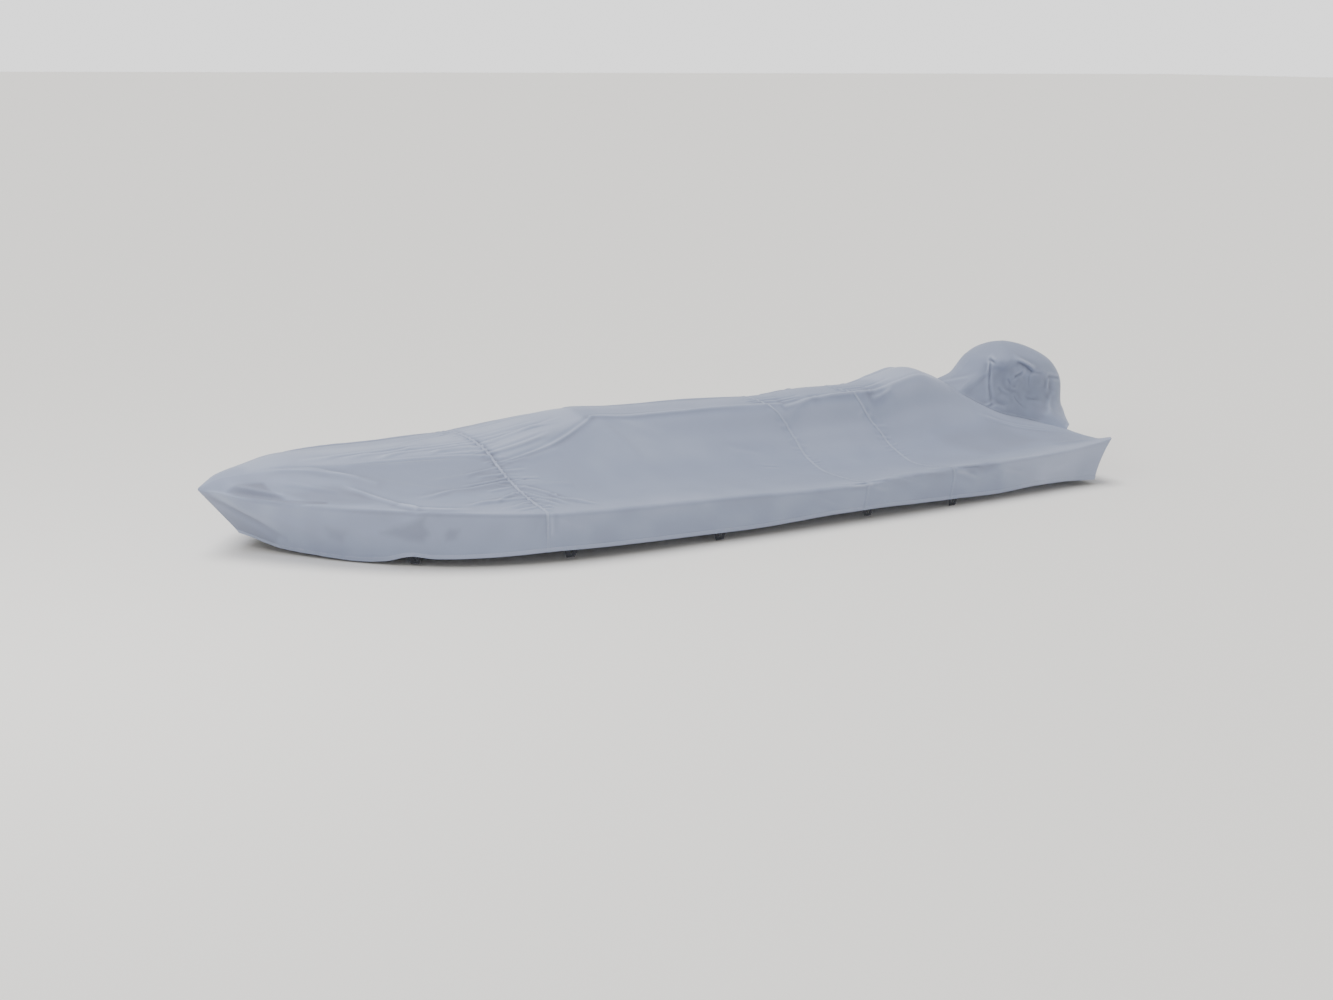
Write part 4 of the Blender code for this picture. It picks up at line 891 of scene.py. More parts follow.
TOP_PAINTED_LIGHT = 0.40              # painted light: how much paler the top between the ridges is
TOP_EDGE = (-0.02, 0.05)     # its soft edge, in shares of the half width from the ridge
SLOPE_PAINTED_LIGHT = 0.45            # painted light: how much paler the slope under the ridges is
SLOPE_OVER = 0.16            # share of the half width past the drop over which that ends
SLOPE_FROM = (1.75, 2.2)     # stations between which it begins
# painted light: how much paler the cloth is near the rim
RIM_PAINTED_LIGHT = 0.45
RIM_FROM = (0.80, 0.97)      # shares of the half width between which that begins
RIM_OVER = 0.02              # length below the rim over which it ends
RIM_LINE = 0.95              # painted highlight: the pale line where the cloth rolls over the rim
RIM_LINE_AT = 0.006          # its place, in from the rim, and its width
RIM_LINE_WIDTH = 0.007
RIM_LINE_LEAST = 0.45        # share of it that is left between its brighter stretches
RIM_LINE_CELL = 0.17         # length of those stretches
RIM_LINE_SEED = 41
RIM_LINE_FROM = (0.25, 0.6)  # stations between which the line begins
RIM_LINE_EASE = (1.3, 1.5)   # and between which it loses a share
RIM_LINE_LOSS = 0.6
RIM_SHADE = 0.7              # painted shade: the darker line under it, as a share of it
RIM_SHADE_AT = 0.016         # its place, below the rim, and its width
RIM_SHADE_WIDTH = 0.010
TONE_MOTTLE = 0.16           # unevenness of the tone, and how much more of it the skirt has
SKIRT_MOTTLE = 0.22
MOTTLE_CELL = 0.11
MOTTLE_SEED = 51
SKIRT_SOFT = 0.03            # half width of the zone in which the skirt's share begins
FOOT_LINE = 0.6              # painted highlight: the pale line on the deck along the hood's foot
FOOT_LINE_AT = 0.012         # its place, out from the ridge, and its width
FOOT_LINE_WIDTH = 0.007
FOOT_LINE_OVER = 0.10        # length aft of the notch over which it begins


def painted_light_and_mottle(grid):
    """Painted light and random mottle: a paler top, slope and rim zone, painted highlights on the
    rim and at the hood's foot, painted shade under the rim.
    """
    x = grid.chart_x
    half = half_width(x)
    out = np.abs(grid.chart_v)
    share = out / np.maximum(half, 0.05)
    ridge = section_value("ridge_at", x)
    drop = section_value("drop_at", x)
    past_ridge = smooth_step(ridge + TOP_EDGE[0], ridge + TOP_EDGE[1], share)
    slope = past_ridge * (1.0 - smooth_step(drop, drop + SLOPE_OVER, share))
    slope *= smooth_step(*SLOPE_FROM, x)
    near_rim = smooth_step(*RIM_FROM, share) * (1.0 - smooth_step(half, half + RIM_OVER, out))
    # painted light on the top, on the slope under the ridges and near the rim
    total = TOP_PAINTED_LIGHT * (1.0 - past_ridge) + SLOPE_PAINTED_LIGHT * slope + RIM_PAINTED_LIGHT * near_rim
    # painted highlight along the rim, with painted shade under it
    uneven = soft_noise(x, np.sign(grid.chart_v), RIM_LINE_CELL, RIM_LINE_SEED)
    line = bell(out, half - RIM_LINE_AT, RIM_LINE_WIDTH)
    line *= RIM_LINE_LEAST + (1.0 - RIM_LINE_LEAST) * uneven
    line -= RIM_SHADE * bell(out, half + RIM_SHADE_AT, RIM_SHADE_WIDTH)
    rim_line_strength = smooth_step(*RIM_LINE_FROM, x)
    rim_line_strength *= 1.0 - RIM_LINE_LOSS * smooth_step(*RIM_LINE_EASE, x)
    total += RIM_LINE * line * rim_line_strength
    on_skirt = smooth_step(half - SKIRT_SOFT, half + SKIRT_SOFT, out)
    mottle = soft_noise(x, grid.chart_v, MOTTLE_CELL, MOTTLE_SEED)
    total += (TONE_MOTTLE + SKIRT_MOTTLE * on_skirt) * mottle
    # painted highlight along the hood's foot
    foot = bell(out, ridge * half + FOOT_LINE_AT, FOOT_LINE_WIDTH)
    foot *= smooth_step(NOTCH, NOTCH + FOOT_LINE_OVER, x)
    return total + FOOT_LINE * foot


HEM_STEP = (-0.0016, 0.0008) # heights about the hem's edge between which its layer ends
HEM_BEAD_WIDTH = 0.003
FELL_LIP = (-0.0002, 0.0014) # distances from the felled edge between which its lip rises
LIP_SHARES = (0.84, 0.16)    # rise before the lip, and of the lip
GROOVE_SHARE = 0.18          # depth of a stitched groove, and its width
GROOVE_WIDTH = 0.0012
FELL_END = (-0.001, 0.009)   # distances aft of the seam between which its rise ends


def hem_rise(above_hem):
    """Turned hem: a second layer up to its stitched edge, and a rolled lower edge."""
    turned = 1.0 - smooth_step(HEM_TURN + HEM_STEP[0], HEM_TURN + HEM_STEP[1], above_hem)
    return HEM_RISE * turned + HEM_BEAD * bell(above_hem, 0.0, HEM_BEAD_WIDTH)


def fell_rise(offset):
    """Aft panel's lap over the panel before it, by the distance aft of the seam."""
    lip = smooth_step(FELL_LIP[0] - FELL, FELL_LIP[1] - FELL, offset)
    groove = GROOVE_SHARE * sum(bell(offset, row, GROOVE_WIDTH) for row in SEAM_STITCH_ROWS)
    rise = LIP_SHARES[0] + LIP_SHARES[1] * lip - groove
    return FELL_RISE * rise * (1.0 - smooth_step(*FELL_END, offset))


# ---------------------------------------------------------------- meshes
SHARP_ANGLE = math.radians(48.0)


def vertex_normals(points, quads):
    """Area-weighted normals; a triangle is a quad that names a corner twice."""
    a, b, c, d = (points[quads[:, k]] for k in range(4))
    face = np.cross(c - a, d - b)
    normals = np.zeros_like(points)
    for k in range(4):
        np.add.at(normals, quads[:, k], face)
    return unit(normals)


def grid_quads(index):
    return np.stack([index[:-1, :-1], index[1:, :-1], index[1:, 1:], index[:-1, 1:]],
                    axis=2).reshape(-1, 4)


def shell_quads(quads, count):
    """Faces of a closed shell: the sheet, its inner side, and a rim along every free edge."""
    start = quads.T.ravel()
    end = np.roll(quads, -1, axis=1).T.ravel()
    real = start != end
    start = start[real]
    end = end[real]
    free = ~np.isin(start * count + end, end * count + start)
    rim = np.stack([end, start, start + count, end + count], axis=1)[free]
    return np.concatenate([quads, quads[:, ::-1] + count, rim])


def add_object(name, points, quads, material, pattern=None, pale=None):
    """Mesh of the quads; one that names a corner twice in a row becomes a triangle."""
    faces = [[corner for k, corner in enumerate(quad) if corner != quad[k - 1]]
             for quad in quads.tolist()]
    mesh = bpy.data.meshes.new(name)
    mesh.from_pydata((points + SHIFT).tolist(), [], [face for face in faces if len(face) > 2])
    mesh.materials.append(material)
    mesh.shade_smooth()
    mesh.set_sharp_from_angle(angle=SHARP_ANGLE)
    if pattern is not None:
        corners = np.zeros(len(mesh.loops), dtype=np.int32)
        mesh.loops.foreach_get("vertex_index", corners)
        layer = mesh.uv_layers.new(name="pattern")
        layer.data.foreach_set("uv", pattern[corners].astype(np.float32).ravel())
    if pale is not None:
        mark = mesh.attributes.new("pale", "FLOAT", "POINT")
        mark.data.foreach_set("value", pale.astype(np.float32))
    mesh.update()
    obj = bpy.data.objects.new(name, mesh)
    bpy.context.collection.objects.link(obj)
    return obj


def add_cloth(name, quads, fields, material):
    """Thin closed shell of a piece of cloth, its thickness on the inner side."""
    used, place = np.unique(quads, return_inverse=True)
    quads = place.reshape(quads.shape)
    points, pattern, pale, thickness = (field[used] for field in fields)
    inner = points - vertex_normals(points, quads) * thickness[:, None]
    return add_object(name, np.concatenate([points, inner]), shell_quads(quads, len(points)),
                      material, np.tile(pattern, (2, 1)), np.tile(pale, 2))


CREST_TONE = 0.75            # paleness of a crest whose pale line is full, painted highlight and wear; below zero the cloth is darker, by painted shade and random mottling
TONE_LIMIT = 1.4
# paleness of the turned hem: a painted highlight
HEM_PALE = 0.40
HEM_THICKER = 0.8            # how much thicker the cloth is in the turned hem
# a seam's band is paler: pale seam tape, and a painted highlight, full on the deck
SEAM_PALE = 0.9
SEAM_PALE_LOW = 0.05         # paleness of a seam's band on the skirt, where its painted highlight is faint
SKIRT_PLAIN = 0.16           # height above the hem up to which the band stays that dull
BAND_END = (-0.001, 0.005)   # distances aft of the seam between which the band ends
BAND_FADE = (-0.02, 0.06)    # heights about SKIRT_PLAIN between which it grows paler
HEM_SOFT = 0.006             # width of the hem's soft upper edge


def in_hem(above_hem):
    return 1.0 - smooth_step(HEM_TURN - HEM_SOFT, HEM_TURN, above_hem)


def thickness(hem):
    return CLOTH * (1.0 + HEM_THICKER * hem)


def paleness(worn, hem):
    pale = np.clip(CREST_TONE * worn, -TONE_LIMIT, TONE_LIMIT)
    # the turned hem gets its painted highlight
    return pale + hem * np.maximum(HEM_PALE - pale, 0.0)


def cloth_fields(grid, seam=None):
    """Flat lists of a grid's points, pattern, paleness and thickness; the seam is the front one."""
    hem = in_hem(grid.above_hem)
    pale = paleness(grid.worn, hem)
    if seam is not None:
        # seam band: pale seam tape and a painted highlight, faint on the skirt
        band = 1.0 - smooth_step(*BAND_END, grid.rows[:, None] - seam)
        on_deck = smooth_step(*BAND_FADE, grid.above_hem - SKIRT_PLAIN)
        target = SEAM_PALE_LOW + (SEAM_PALE - SEAM_PALE_LOW) * on_deck
        pale += band * np.maximum(target - pale, 0.0)
    return (grid.points.reshape(-1, 3), grid.pattern.reshape(-1, 2), pale.ravel(),
            thickness(hem).ravel())


# ---------------------------------------------------------------- the four panels
def bow_piece(grid, material):
    """First panel: its front row closes on the middle line, and its deck runs to the tip."""
    index = grid.index()
    columns = np.arange(COLUMNS)
    index[0] = np.minimum(np.minimum(columns, columns[::-1]), EDGE)
    grid.points[0, :, 1] = 0.0
    return add_cloth("cover_bow", grid_quads(index), cloth_fields(grid), material)


FLAP_WAVE = 2.0              # how much stronger the waves are on the flaps
FLAP_SEED = 32
FLAP_CALM = 0.05             # lengths over which their relief grows, down from the deck,
CORNER_CALM = 0.04           # away from the corner,
HEM_CALM = 0.01              # and that of their hem


def stern_flap(grid, side):
    """Cloth that falls over the stern end on one side of the hood, a column for each of the
    deck's columns. Its corner column is the skirt's own."""
    roll = roll_radius(LENGTH)
    last = grid.points[-1]
    hem = float(hem_height(LENGTH))
    columns = (np.arange(EDGE, RIDGE_PORT + 1) if side < 0
               else np.arange(RIDGE_STARBOARD, COLUMNS - EDGE))
    corner = 0 if side < 0 else -1
    turns = 0.5 * math.pi * np.arange(ROLL_COLUMNS - 1, 0, -1) / ROLL_COLUMNS
    points = []
    drops = []
    for top in last[columns]:
        fall = drops_below_rim(top[2] - hem, roll)[::-1]
        low = top - roll * UP
        start = np.array([LENGTH + lean(LENGTH, roll), low[1], low[2]])
        skirt = np.stack([LENGTH + lean(LENGTH, fall), np.full(len(fall), top[1]), top[2] - fall],
                         axis=1)
        points.append(np.concatenate([top[None], roll_over(start, low, roll, turns), skirt]))
        drops.append(np.concatenate([[0.0], roll * (1.0 - np.sin(turns)), fall]))
    own = columns[corner] + side * np.arange(EDGE + 1)
    points[corner] = last[own]
    points = np.array(points)
    drops = np.array(drops)
    above = drops[:, -1:] - drops
    across = np.repeat(points[:, :1, 1], points.shape[1], axis=1)
    from_corner = np.abs(across - points[corner, 0, 1])
    calm = np.clip(drops / FLAP_CALM, 0.0, 1.0) * np.clip(from_corner / CORNER_CALM, 0.0, 1.0)
    pucker = soft_noise(across, across * 0.0, PUCKER_CELL, FLAP_SEED)
    pucker *= PUCKER_HEIGHT * np.exp(-above / PUCKER_REACH)
    points[:, :, 0] += calm * (FLAP_WAVE * wave_height(LENGTH + drops, across) + pucker)
    points[:, :, 0] += np.clip(from_corner / HEM_CALM, 0.0, 1.0) * hem_rise(above)
    return columns, corner, own, points, np.stack([LENGTH + drops, across], axis=2), above


def stern_piece(grid, material):
    """Last panel: its deck is notched under the hood, and it folds down over the stern end.
    Returns the points of its two flaps too."""
    index = grid.index()
    notch = grid.row_at(NOTCH)
    quads = [grid_quads(part) for part in (index[:notch + 1], index[notch:, :RIDGE_PORT + 1],
                                           index[notch:, RIDGE_STARBOARD:])]
    fields = [[field] for field in cloth_fields(grid, SEAMS[2])]
    count = index.size
    flaps = []
    for side in (-1, 1):
        columns, corner, own, points, pattern, above = stern_flap(grid, side)
        place = count + np.arange(above.size).reshape(above.shape)
        count += above.size
        place[:, 0] = index[-1, columns]
        place[corner] = index[-1, own]
        quads.append(grid_quads(place.T))
        hem = in_hem(above).ravel()
        # the flaps' turned hem gets the same painted highlight
        flap = (points.reshape(-1, 3), pattern.reshape(-1, 2), HEM_PALE * hem, thickness(hem))
        for field, more in zip(fields, flap):
            field.append(more)
        flaps.append(points)
    fields = [np.concatenate(field) for field in fields]
    return add_cloth("cover_stern", np.concatenate(quads), fields, material), flaps


# ---------------------------------------------------------------- the stern hood
HOOD_RINGS = 96
RING_PITCH = (0.55, 0.45)    # rings lie closer at the foot: shares of their place and its square
HOOD_INSIDE = (HOOD_MIDDLE, 0.0, 0.15)      # a place well inside the hood
HOOD_PAINTED_SHADE = 0.15             # painted shade: how much darker the hood is than the deck
HOOD_MOTTLE = 0.35           # unevenness of the wall's tone
HOOD_MOTTLE_CELL = 0.028
HOOD_MOTTLE_SEED = 52
REAR_POINTS = 26             # ring points on each side of the free rear edge
HOOD_GAP = 0.0004
HOOD_WAVE = 1.3              # how much stronger the waves are on the hood
WAVE_SLANT = 0.7             # share of the height that is added to their run aft
FOOT_CALM = 0.012            # length over which the relief grows from the foot
TOP_CALM = 0.15              # share of a meridian over which it dies out at the top
FOOT_FLARE = 0.010           # the foot turns out on the deck, and its fillet rises from there
FOOT_FLARE_OVER = 0.010
WALL_FLARE = 0.15            # share of the flare that is left along the two walls
FLARE_AHEAD = (0.35, 0.75)   # radians from straight ahead between which it eases to that


def hood_ring(panel):
    """Points round the hood's foot, the direction that leads away from it on the deck, and which
    of them are on the deck."""
    notch = panel.row_at(NOTCH)
    aft = range(notch + 1, len(panel.rows) - 1)
    places = [(i, RIDGE_PORT, i, RIDGE_PORT - 1) for i in reversed(aft)]
    places += [(notch, j, notch - 1, j) for j in range(RIDGE_PORT, RIDGE_STARBOARD + 1)]
    places += [(i, RIDGE_STARBOARD, i, RIDGE_STARBOARD + 1) for i in aft]
    i, j, beside_i, beside_j = np.array(places).T
    away = unit(panel.points[beside_i, beside_j] - panel.points[i, j])
    ring = panel.points[i, j] + away * HOOD_SEAT
    rear = np.array(REAR_EDGE)[:, [1, 0, 2]]
    knots = run_along(rear)
    at = np.linspace(0.0, knots[-1], REAR_POINTS)
    edge = np.stack([smooth_through(knots, rear[:, c], at) for c in range(3)], axis=1)
    edge = np.concatenate([edge, edge[-2::-1] * np.array([1.0, -1.0, 1.0])])
    out = unit((edge - np.array([HOOD_MIDDLE, 0.0, 0.0])) * np.array([1.0, 1.0, 0.0]))
    ring = np.concatenate([ring, edge])
    away = np.concatenate([away, out])
    on_deck = np.arange(len(ring)) < len(places)
    between = (0.5 * (ring + np.roll(ring, -1, axis=0)), unit(away + np.roll(away, -1, axis=0)),
               on_deck & np.roll(on_deck, -1))
    return [np.stack([field, more], axis=1).reshape((-1,) + field.shape[1:])
            for field, more in zip((ring, away, on_deck), between)]


def hood_meridian(foot, shares):
    """Line from a point of the foot to the top with the broad folds, its arc and its length."""
    azimuth = math.atan2(foot[1], HOOD_MIDDLE - foot[0])
    out = np.array([-math.cos(azimuth), math.sin(azimuth), 0.0])
    solid = read_row(HOOD, HOOD_COLUMNS, math.degrees(abs(azimuth)))
    slack = read_row(DOME_SLACK, DOME_SLACK_COLUMNS, math.degrees(azimuth))
    middle = np.array([HOOD_MIDDLE, 0.0, 0.0])
    waist = middle + out * (solid["waist_out"] - slack["waist_in"]) + UP * solid["waist"]
    shoulder = (middle + out * (solid["shoulder_out"] - slack["shoulder_in"])
                + UP * (solid["shoulder"] - slack["shoulder_down"]))
    top = np.array(DOME_TOP)
    over = top + (top - shoulder) * np.array([1.0, 1.0, -1.0])
    knots = np.array([foot + UP * LAID_GAP, waist, shoulder, top])
    run = run_along(knots)
    places = run / run[-1]
    places = np.append(places, 2.0 - places[2])
    knots = np.concatenate([knots, over[None]])
    line = np.stack([smooth_through(places, knots[:, c], shares) for c in range(3)], axis=1)
    grow = np.minimum(1.0, shares / HOOD_FOLDS_FROM_FOOT)
    line += out * (grow * fold_height(HOOD_FOLDS, azimuth * HOOD_RADIUS, line[:, 2]))[:, None]
    return line, np.full(len(shares), azimuth * HOOD_RADIUS), shares * run[-1]


def hood_piece(panel, material):
    """The domed cap: rings of points from its foot up, closed by a fan at the top."""
    ring, away, on_deck = hood_ring(panel)
    t = np.linspace(0.0, 1.0, HOOD_RINGS + 1)[:-1]
    shares = t * (RING_PITCH[0] + RING_PITCH[1] * t)
    points, arcs, lengths = (np.array(field) for field in
                             zip(*(hood_meridian(foot, shares) for foot in ring)))
    normals = grid_normals(np.concatenate([points[-1:], points, points[:1]]))[1:-1]
    if (normals * (points - np.array(HOOD_INSIDE))).sum() < 0.0:
        normals = -normals
    height = points[:, :, 2]
    relief, worn = crease_fields(HOOD_CREASES, arcs, height)
    relief += HOOD_WAVE * wave_height(points[:, :, 0] + WAVE_SLANT * height, points[:, :, 1])
    relief -= HOOD_WALL_DEPTH * inside_outline(HOOD_WALL, arcs, height, HOOD_WALL_SOFT)
    relief *= np.clip(lengths / FOOT_CALM, 0.0, 1.0) ** 2
    relief *= np.clip((1.0 - shares) / TOP_CALM, 0.0, 1.0)
    # painted shade: the whole hood, more on its port wall, most along the wall's foot
    low, high = HOOD_TONE_SOFT
    soft = low + (high - low) * smooth_step(*HOOD_TONE_RISE, height)
    wall = inside_outline(HOOD_WALL, arcs, height, soft)
    shade = HOOD_WALL_SHADE + HOOD_FOOT_SHADE * np.exp(-lengths / HOOD_FOOT_STRIP)
    worn -= HOOD_PAINTED_SHADE + wall * shade
    mottle = soft_noise(arcs, height, HOOD_MOTTLE_CELL, HOOD_MOTTLE_SEED)
    worn += wall * HOOD_MOTTLE * mottle
    points = points + normals * relief[:, :, None]
    ahead = 1.0 - smooth_step(*FLARE_AHEAD, np.abs(arcs) / HOOD_RADIUS)
    flare = FOOT_FLARE * (WALL_FLARE + (1.0 - WALL_FLARE) * ahead)
    flare *= np.exp(-lengths / FOOT_FLARE_OVER) * on_deck[:, None]
    points += away[:, None] * flare[:, :, None]
    points[:, 0] += normals[:, 0] * HOOD_GAP
    free = ~on_deck[:, None]
    points += normals * (free * hem_rise(lengths))[:, :, None]
    hem = free * in_hem(lengths)
    index = np.arange(hem.size).reshape(hem.shape)
    index = np.concatenate([index, index[:1]])
    top = np.full(len(ring), hem.size)
    fan = np.stack([index[:-1, -1], top, top, index[1:, -1]], axis=1)
    fields = (np.concatenate([points.reshape(-1, 3), [DOME_TOP]]),
              np.concatenate([np.stack([arcs, lengths], axis=2).reshape(-1, 2),
                              [[0.0, lengths.max()]]]),
              np.append(paleness(worn, hem), 0.0), np.append(thickness(hem), CLOTH))
    return add_cloth("cover_hood", np.concatenate([grid_quads(index.T), fan]), fields, material)


# ---------------------------------------------------------------- the webbing loops
WEBBING = 0.0025             # thickness of the folded strap
LOOP_OUTLINE = ((-0.036, 0.020), (-0.034, 0.0), (-0.021, -0.040), (0.021, -0.040),
                (0.034, 0.0), (0.036, 0.020))
LOOP_EYE = ((-0.013, 0.010), (-0.012, 0.0), (-0.007, -0.024), (0.007, -0.024),
            (0.012, 0.0), (0.013, 0.010))
LOOP_AROUND = 96
LOOP_ACROSS = 9
LOOP_ROUND = 0.004           # radius of the loop's corners
ROUND_SHARE = 0.45           # most of a side that a rounded corner takes up
ROUND_POINTS = 6
EYE_SHARE = 0.36             # size of the eye against the outline, to start both at one side
SECTION_POWER = 5            # higher is flatter, with a tighter edge
FLAT_STRIP_STEP = 0.18       # share of the skirt over which the solids' strip is read


def rounded_outline(corners, radius, count):
    """Points at even distances round a polygon whose corners are rounded."""
    corners = np.array(corners)
    path = []
    for k, corner in enumerate(corners):
        legs = (corners[k - 1] - corner, corners[(k + 1) % len(corners)] - corner)
        one, two = (corner + unit(leg) * min(radius, ROUND_SHARE * np.linalg.norm(leg))
                    for leg in legs)
        for t in np.linspace(0.0, 1.0, ROUND_POINTS):
            path.append((1 - t) ** 2 * one + 2 * t * (1 - t) * corner + t * t * two)
    path = np.array(path + path[:1])
    run = run_along(path)
    at = np.linspace(0.0, run[-1], count, endpoint=False)
    return np.stack([np.interp(at, run, path[:, c]) for c in range(2)], axis=1)


def loop_frame(x, side):
    """Place and directions of a loop, from the flat strip of the solids' skirt behind it."""
    low, high = [], []
    for edge in (x - LOOP_STRIP, x + LOOP_STRIP):
        depth = float(section_value("rim", edge) - hem_height(edge))
        drops = depth + (roll_radius(edge) - depth) * np.array([0.0, FLAT_STRIP_STEP])
        for ends, point in zip((low, high), skirt_points(edge, side, drops)):
            ends.append(point)
    hem = 0.5 * (low[0] + low[1])
    along = unit(low[1] - low[0])
    up = 0.5 * (high[0] + high[1]) - hem
    up = unit(up - along * np.dot(up, along))
    out = np.cross(along, up)
    return hem, along, up, out if np.dot(out, outward(x, side)) > 0.0 else -out


def loop_piece(name, x, side, material):
    """Folded webbing with a rounded section all round its eye."""
    hem, along, up, out = loop_frame(x, side)
    outer = rounded_outline(LOOP_OUTLINE, LOOP_ROUND, LOOP_AROUND)
    eye = rounded_outline(LOOP_EYE, LOOP_ROUND, LOOP_AROUND)
    eye = np.roll(eye, -np.argmin(np.linalg.norm(eye - outer[0] * EYE_SHARE, axis=1)), axis=0)
    across = np.linspace(0.0, 1.0, LOOP_ACROSS)[None, :, None]
    plump = 0.5 * WEBBING * (1.0 - np.abs(2.0 * across - 1.0) ** SECTION_POWER) ** 0.5
    flat = outer[:, None] * (1.0 - across) + eye[:, None] * across
    middle = hem - out * (SOLID_CLOTH + LAID_GAP + 0.5 * WEBBING)
    base = middle + along * flat[:, :, :1] + up * flat[:, :, 1:]
    points = np.concatenate([base + out * plump, (base - out * plump)[:, -2:0:-1]], axis=1)
    pattern = np.concatenate([flat, flat[:, -2:0:-1]], axis=1)
    index = np.arange(points[:, :, 0].size).reshape(points.shape[:2])
    index = np.pad(index, (0, 1), mode="wrap")
    quads = grid_quads(index)
    points = points.reshape(-1, 3)
    if (vertex_normals(points, quads)[index[:-1, LOOP_ACROSS // 2]] * out).sum() < 0.0:
        quads = quads[:, ::-1]
    return add_object(name, points, quads, material, pattern.reshape(-1, 2))


# ---------------------------------------------------------------- stitches
STITCH_PITCH = 0.0052
STITCH_LENGTH = 0.0038
STITCH_RADIUS = 0.00042
STITCH_BODY = 0.3            # half of the length that has its full radius, as a share
STITCH_SINK = 0.6            # how deep its ends lie and how high its body, in radii
STITCH_LIFT = 0.35
HEM_STITCH_COLUMN = 6        # column of the skirt on which the hem is stitched
BOW_STITCH_START = 6         # rows at the bow tip without stitches
SEAM_STITCH_ROWS = (-FELL + 0.0018, -0.0025)     # rows of stitches, by distance aft of the seam


def stitches_along(line, normals):
    """Small tapered capsules at an even pitch along a line on the cloth."""
    run = run_along(line)
    count = int(run[-1] / STITCH_PITCH)
    at = (np.arange(count) + 0.5) * run[-1] / count

    def read(field, places):
        return np.stack([np.interp(places, run, field[:, c]) for c in range(3)], axis=1)

    centre = read(line, at)
    reach = 0.5 * STITCH_LENGTH
    tangent = unit(read(line, at + reach) - read(line, at - reach))
    side = unit(np.cross(tangent, read(normals, at)))
    up = np.cross(side, tangent)
    rings = [centre - reach * tangent - STITCH_SINK * STITCH_RADIUS * up]
    for place in (-STITCH_BODY, STITCH_BODY):
        for a, b in ((1.0, 0.0), (0.0, 1.0), (-1.0, 0.0), (0.0, -1.0)):
            rings.append(centre + place * STITCH_LENGTH * tangent
                         + STITCH_RADIUS * (a * side + (b + STITCH_LIFT) * up))
    rings.append(centre + reach * tangent - STITCH_SINK * STITCH_RADIUS * up)
    faces = []
    for k, n in ((0, 1), (1, 2), (2, 3), (3, 0)):
        faces += [(0, 1 + n, 1 + k, 1 + k), (1 + k, 1 + n, 5 + n, 5 + k), (5 + k, 5 + n, 9, 9)]
    quads = np.array(faces)[None] + len(rings) * np.arange(count)[:, None, None]
    return np.stack(rings, axis=1).reshape(-1, 3), quads.reshape(-1, 4)


def add_stitches(name, lines, material):
    points = np.zeros((0, 3))
    quads = []
    for line, normals in lines:
        more, faces = stitches_along(line, normals)
        quads.append(faces + len(points))
        points = np.concatenate([points, more])
    return add_object(name, points, np.concatenate(quads), material)


# ---------------------------------------------------------------- materials
class Nodes:
    """Short hand for building the node tree of a material or of the studio."""

    def __init__(self, owner):
        owner.use_nodes = True
        self.owner = owner
        self.tree = owner.node_tree

    def node(self, kind, **values):
        node = self.tree.nodes.new(kind)
        for key, value in values.items():
            setattr(node, key, value)
        return node

    def put(self, node, inputs):
        """Links or sets the sockets of a node, which are named or numbered."""
        for name, value in inputs.items():
            if isinstance(value, bpy.types.NodeSocket):
                self.tree.links.new(value, node.inputs[name])
            else:
                node.inputs[name].default_value = value

    def math(self, operation, *values):
        node = self.node("ShaderNodeMath", operation=operation)
        self.put(node, dict(enumerate(values)))
        return node.outputs[0]

    def noise(self, vector, scale, detail=2.0, rough=0.5):
        node = self.node("ShaderNodeTexNoise")
        self.put(node, {"Vector": vector, "Scale": scale, "Detail": detail, "Roughness": rough})
        return node.outputs["Fac"]

    def between(self, value, low, high, to_low, to_high, shape="LINEAR"):
        node = self.node("ShaderNodeMapRange", interpolation_type=shape)
        self.put(node, {"Value": value, "From Min": low, "From Max": high, "To Min": to_low,
                        "To Max": to_high})
        return node.outputs["Result"]

    def mix(self, factor, one, two):
        node = self.node("ShaderNodeMix", data_type="RGBA")
        self.put(node, {"Factor": factor, "A": one, "B": two})
        return node.outputs["Result"]

    def bump(self, height, strength, distance, **more):
        node = self.node("ShaderNodeBump")
        self.put(node, {"Height": height, "Strength": strength, "Distance": distance, **more})
        return node.outputs["Normal"]

    def pattern(self):
        """The cut pattern, in metres, as a vector and as its two coordinates."""
        uv = self.node("ShaderNodeUVMap", uv_map="pattern").outputs["UV"]
        parts = self.node("ShaderNodeSeparateXYZ")
        self.put(parts, {0: uv})
        return uv, parts.outputs["X"], parts.outputs["Y"]

    def place(self):
        return self.node("ShaderNodeTexCoord").outputs["Object"]

    def ribs(self, coordinate, pitch):
        return self.math("SINE", self.math("MULTIPLY", coordinate, math.pi / pitch))

    def shade(self, **inputs):
        """Fills the shader's sockets, an underscore for each space, and returns the material."""
        self.put(self.tree.nodes["Principled BSDF"],
                 {name.replace("_", " "): value for name, value in inputs.items()})
        return self.owner


# the pale attribute mixes toward the pale colour for painted light and wear, toward the shade
# colour for painted shade
BASE_COLOUR = (0.262, 0.302, 0.420, 1.0)
PALE_COLOUR = (0.415, 0.457, 0.580, 1.0)
SHADE_COLOUR = (0.182, 0.200, 0.272, 1.0)
LIFT_RANGE = 1.5             # paleness at which the cloth has the first or the second of these
THREAD_PITCH = 0.0011        # distance between the threads of the weave
CRINKLE_SCALE = 26.0         # crinkles for each metre
GRAIN_SCALE = 420.0
RIB_PITCH = 0.0016           # distance between the ribs of the webbing
NOISE_MIDDLE = (0.3, 0.7)    # values between which most of a noise lies
MOTTLE = (-0.10, 0.10)       # how much paler it makes the cloth
CLOTH_ROUGH = (0.56, 0.66)
WEBBING_ROUGH = (0.62, 0.78)
RIB_CREST = (0.6, 1.3)       # heights of the webbing between which it is worn
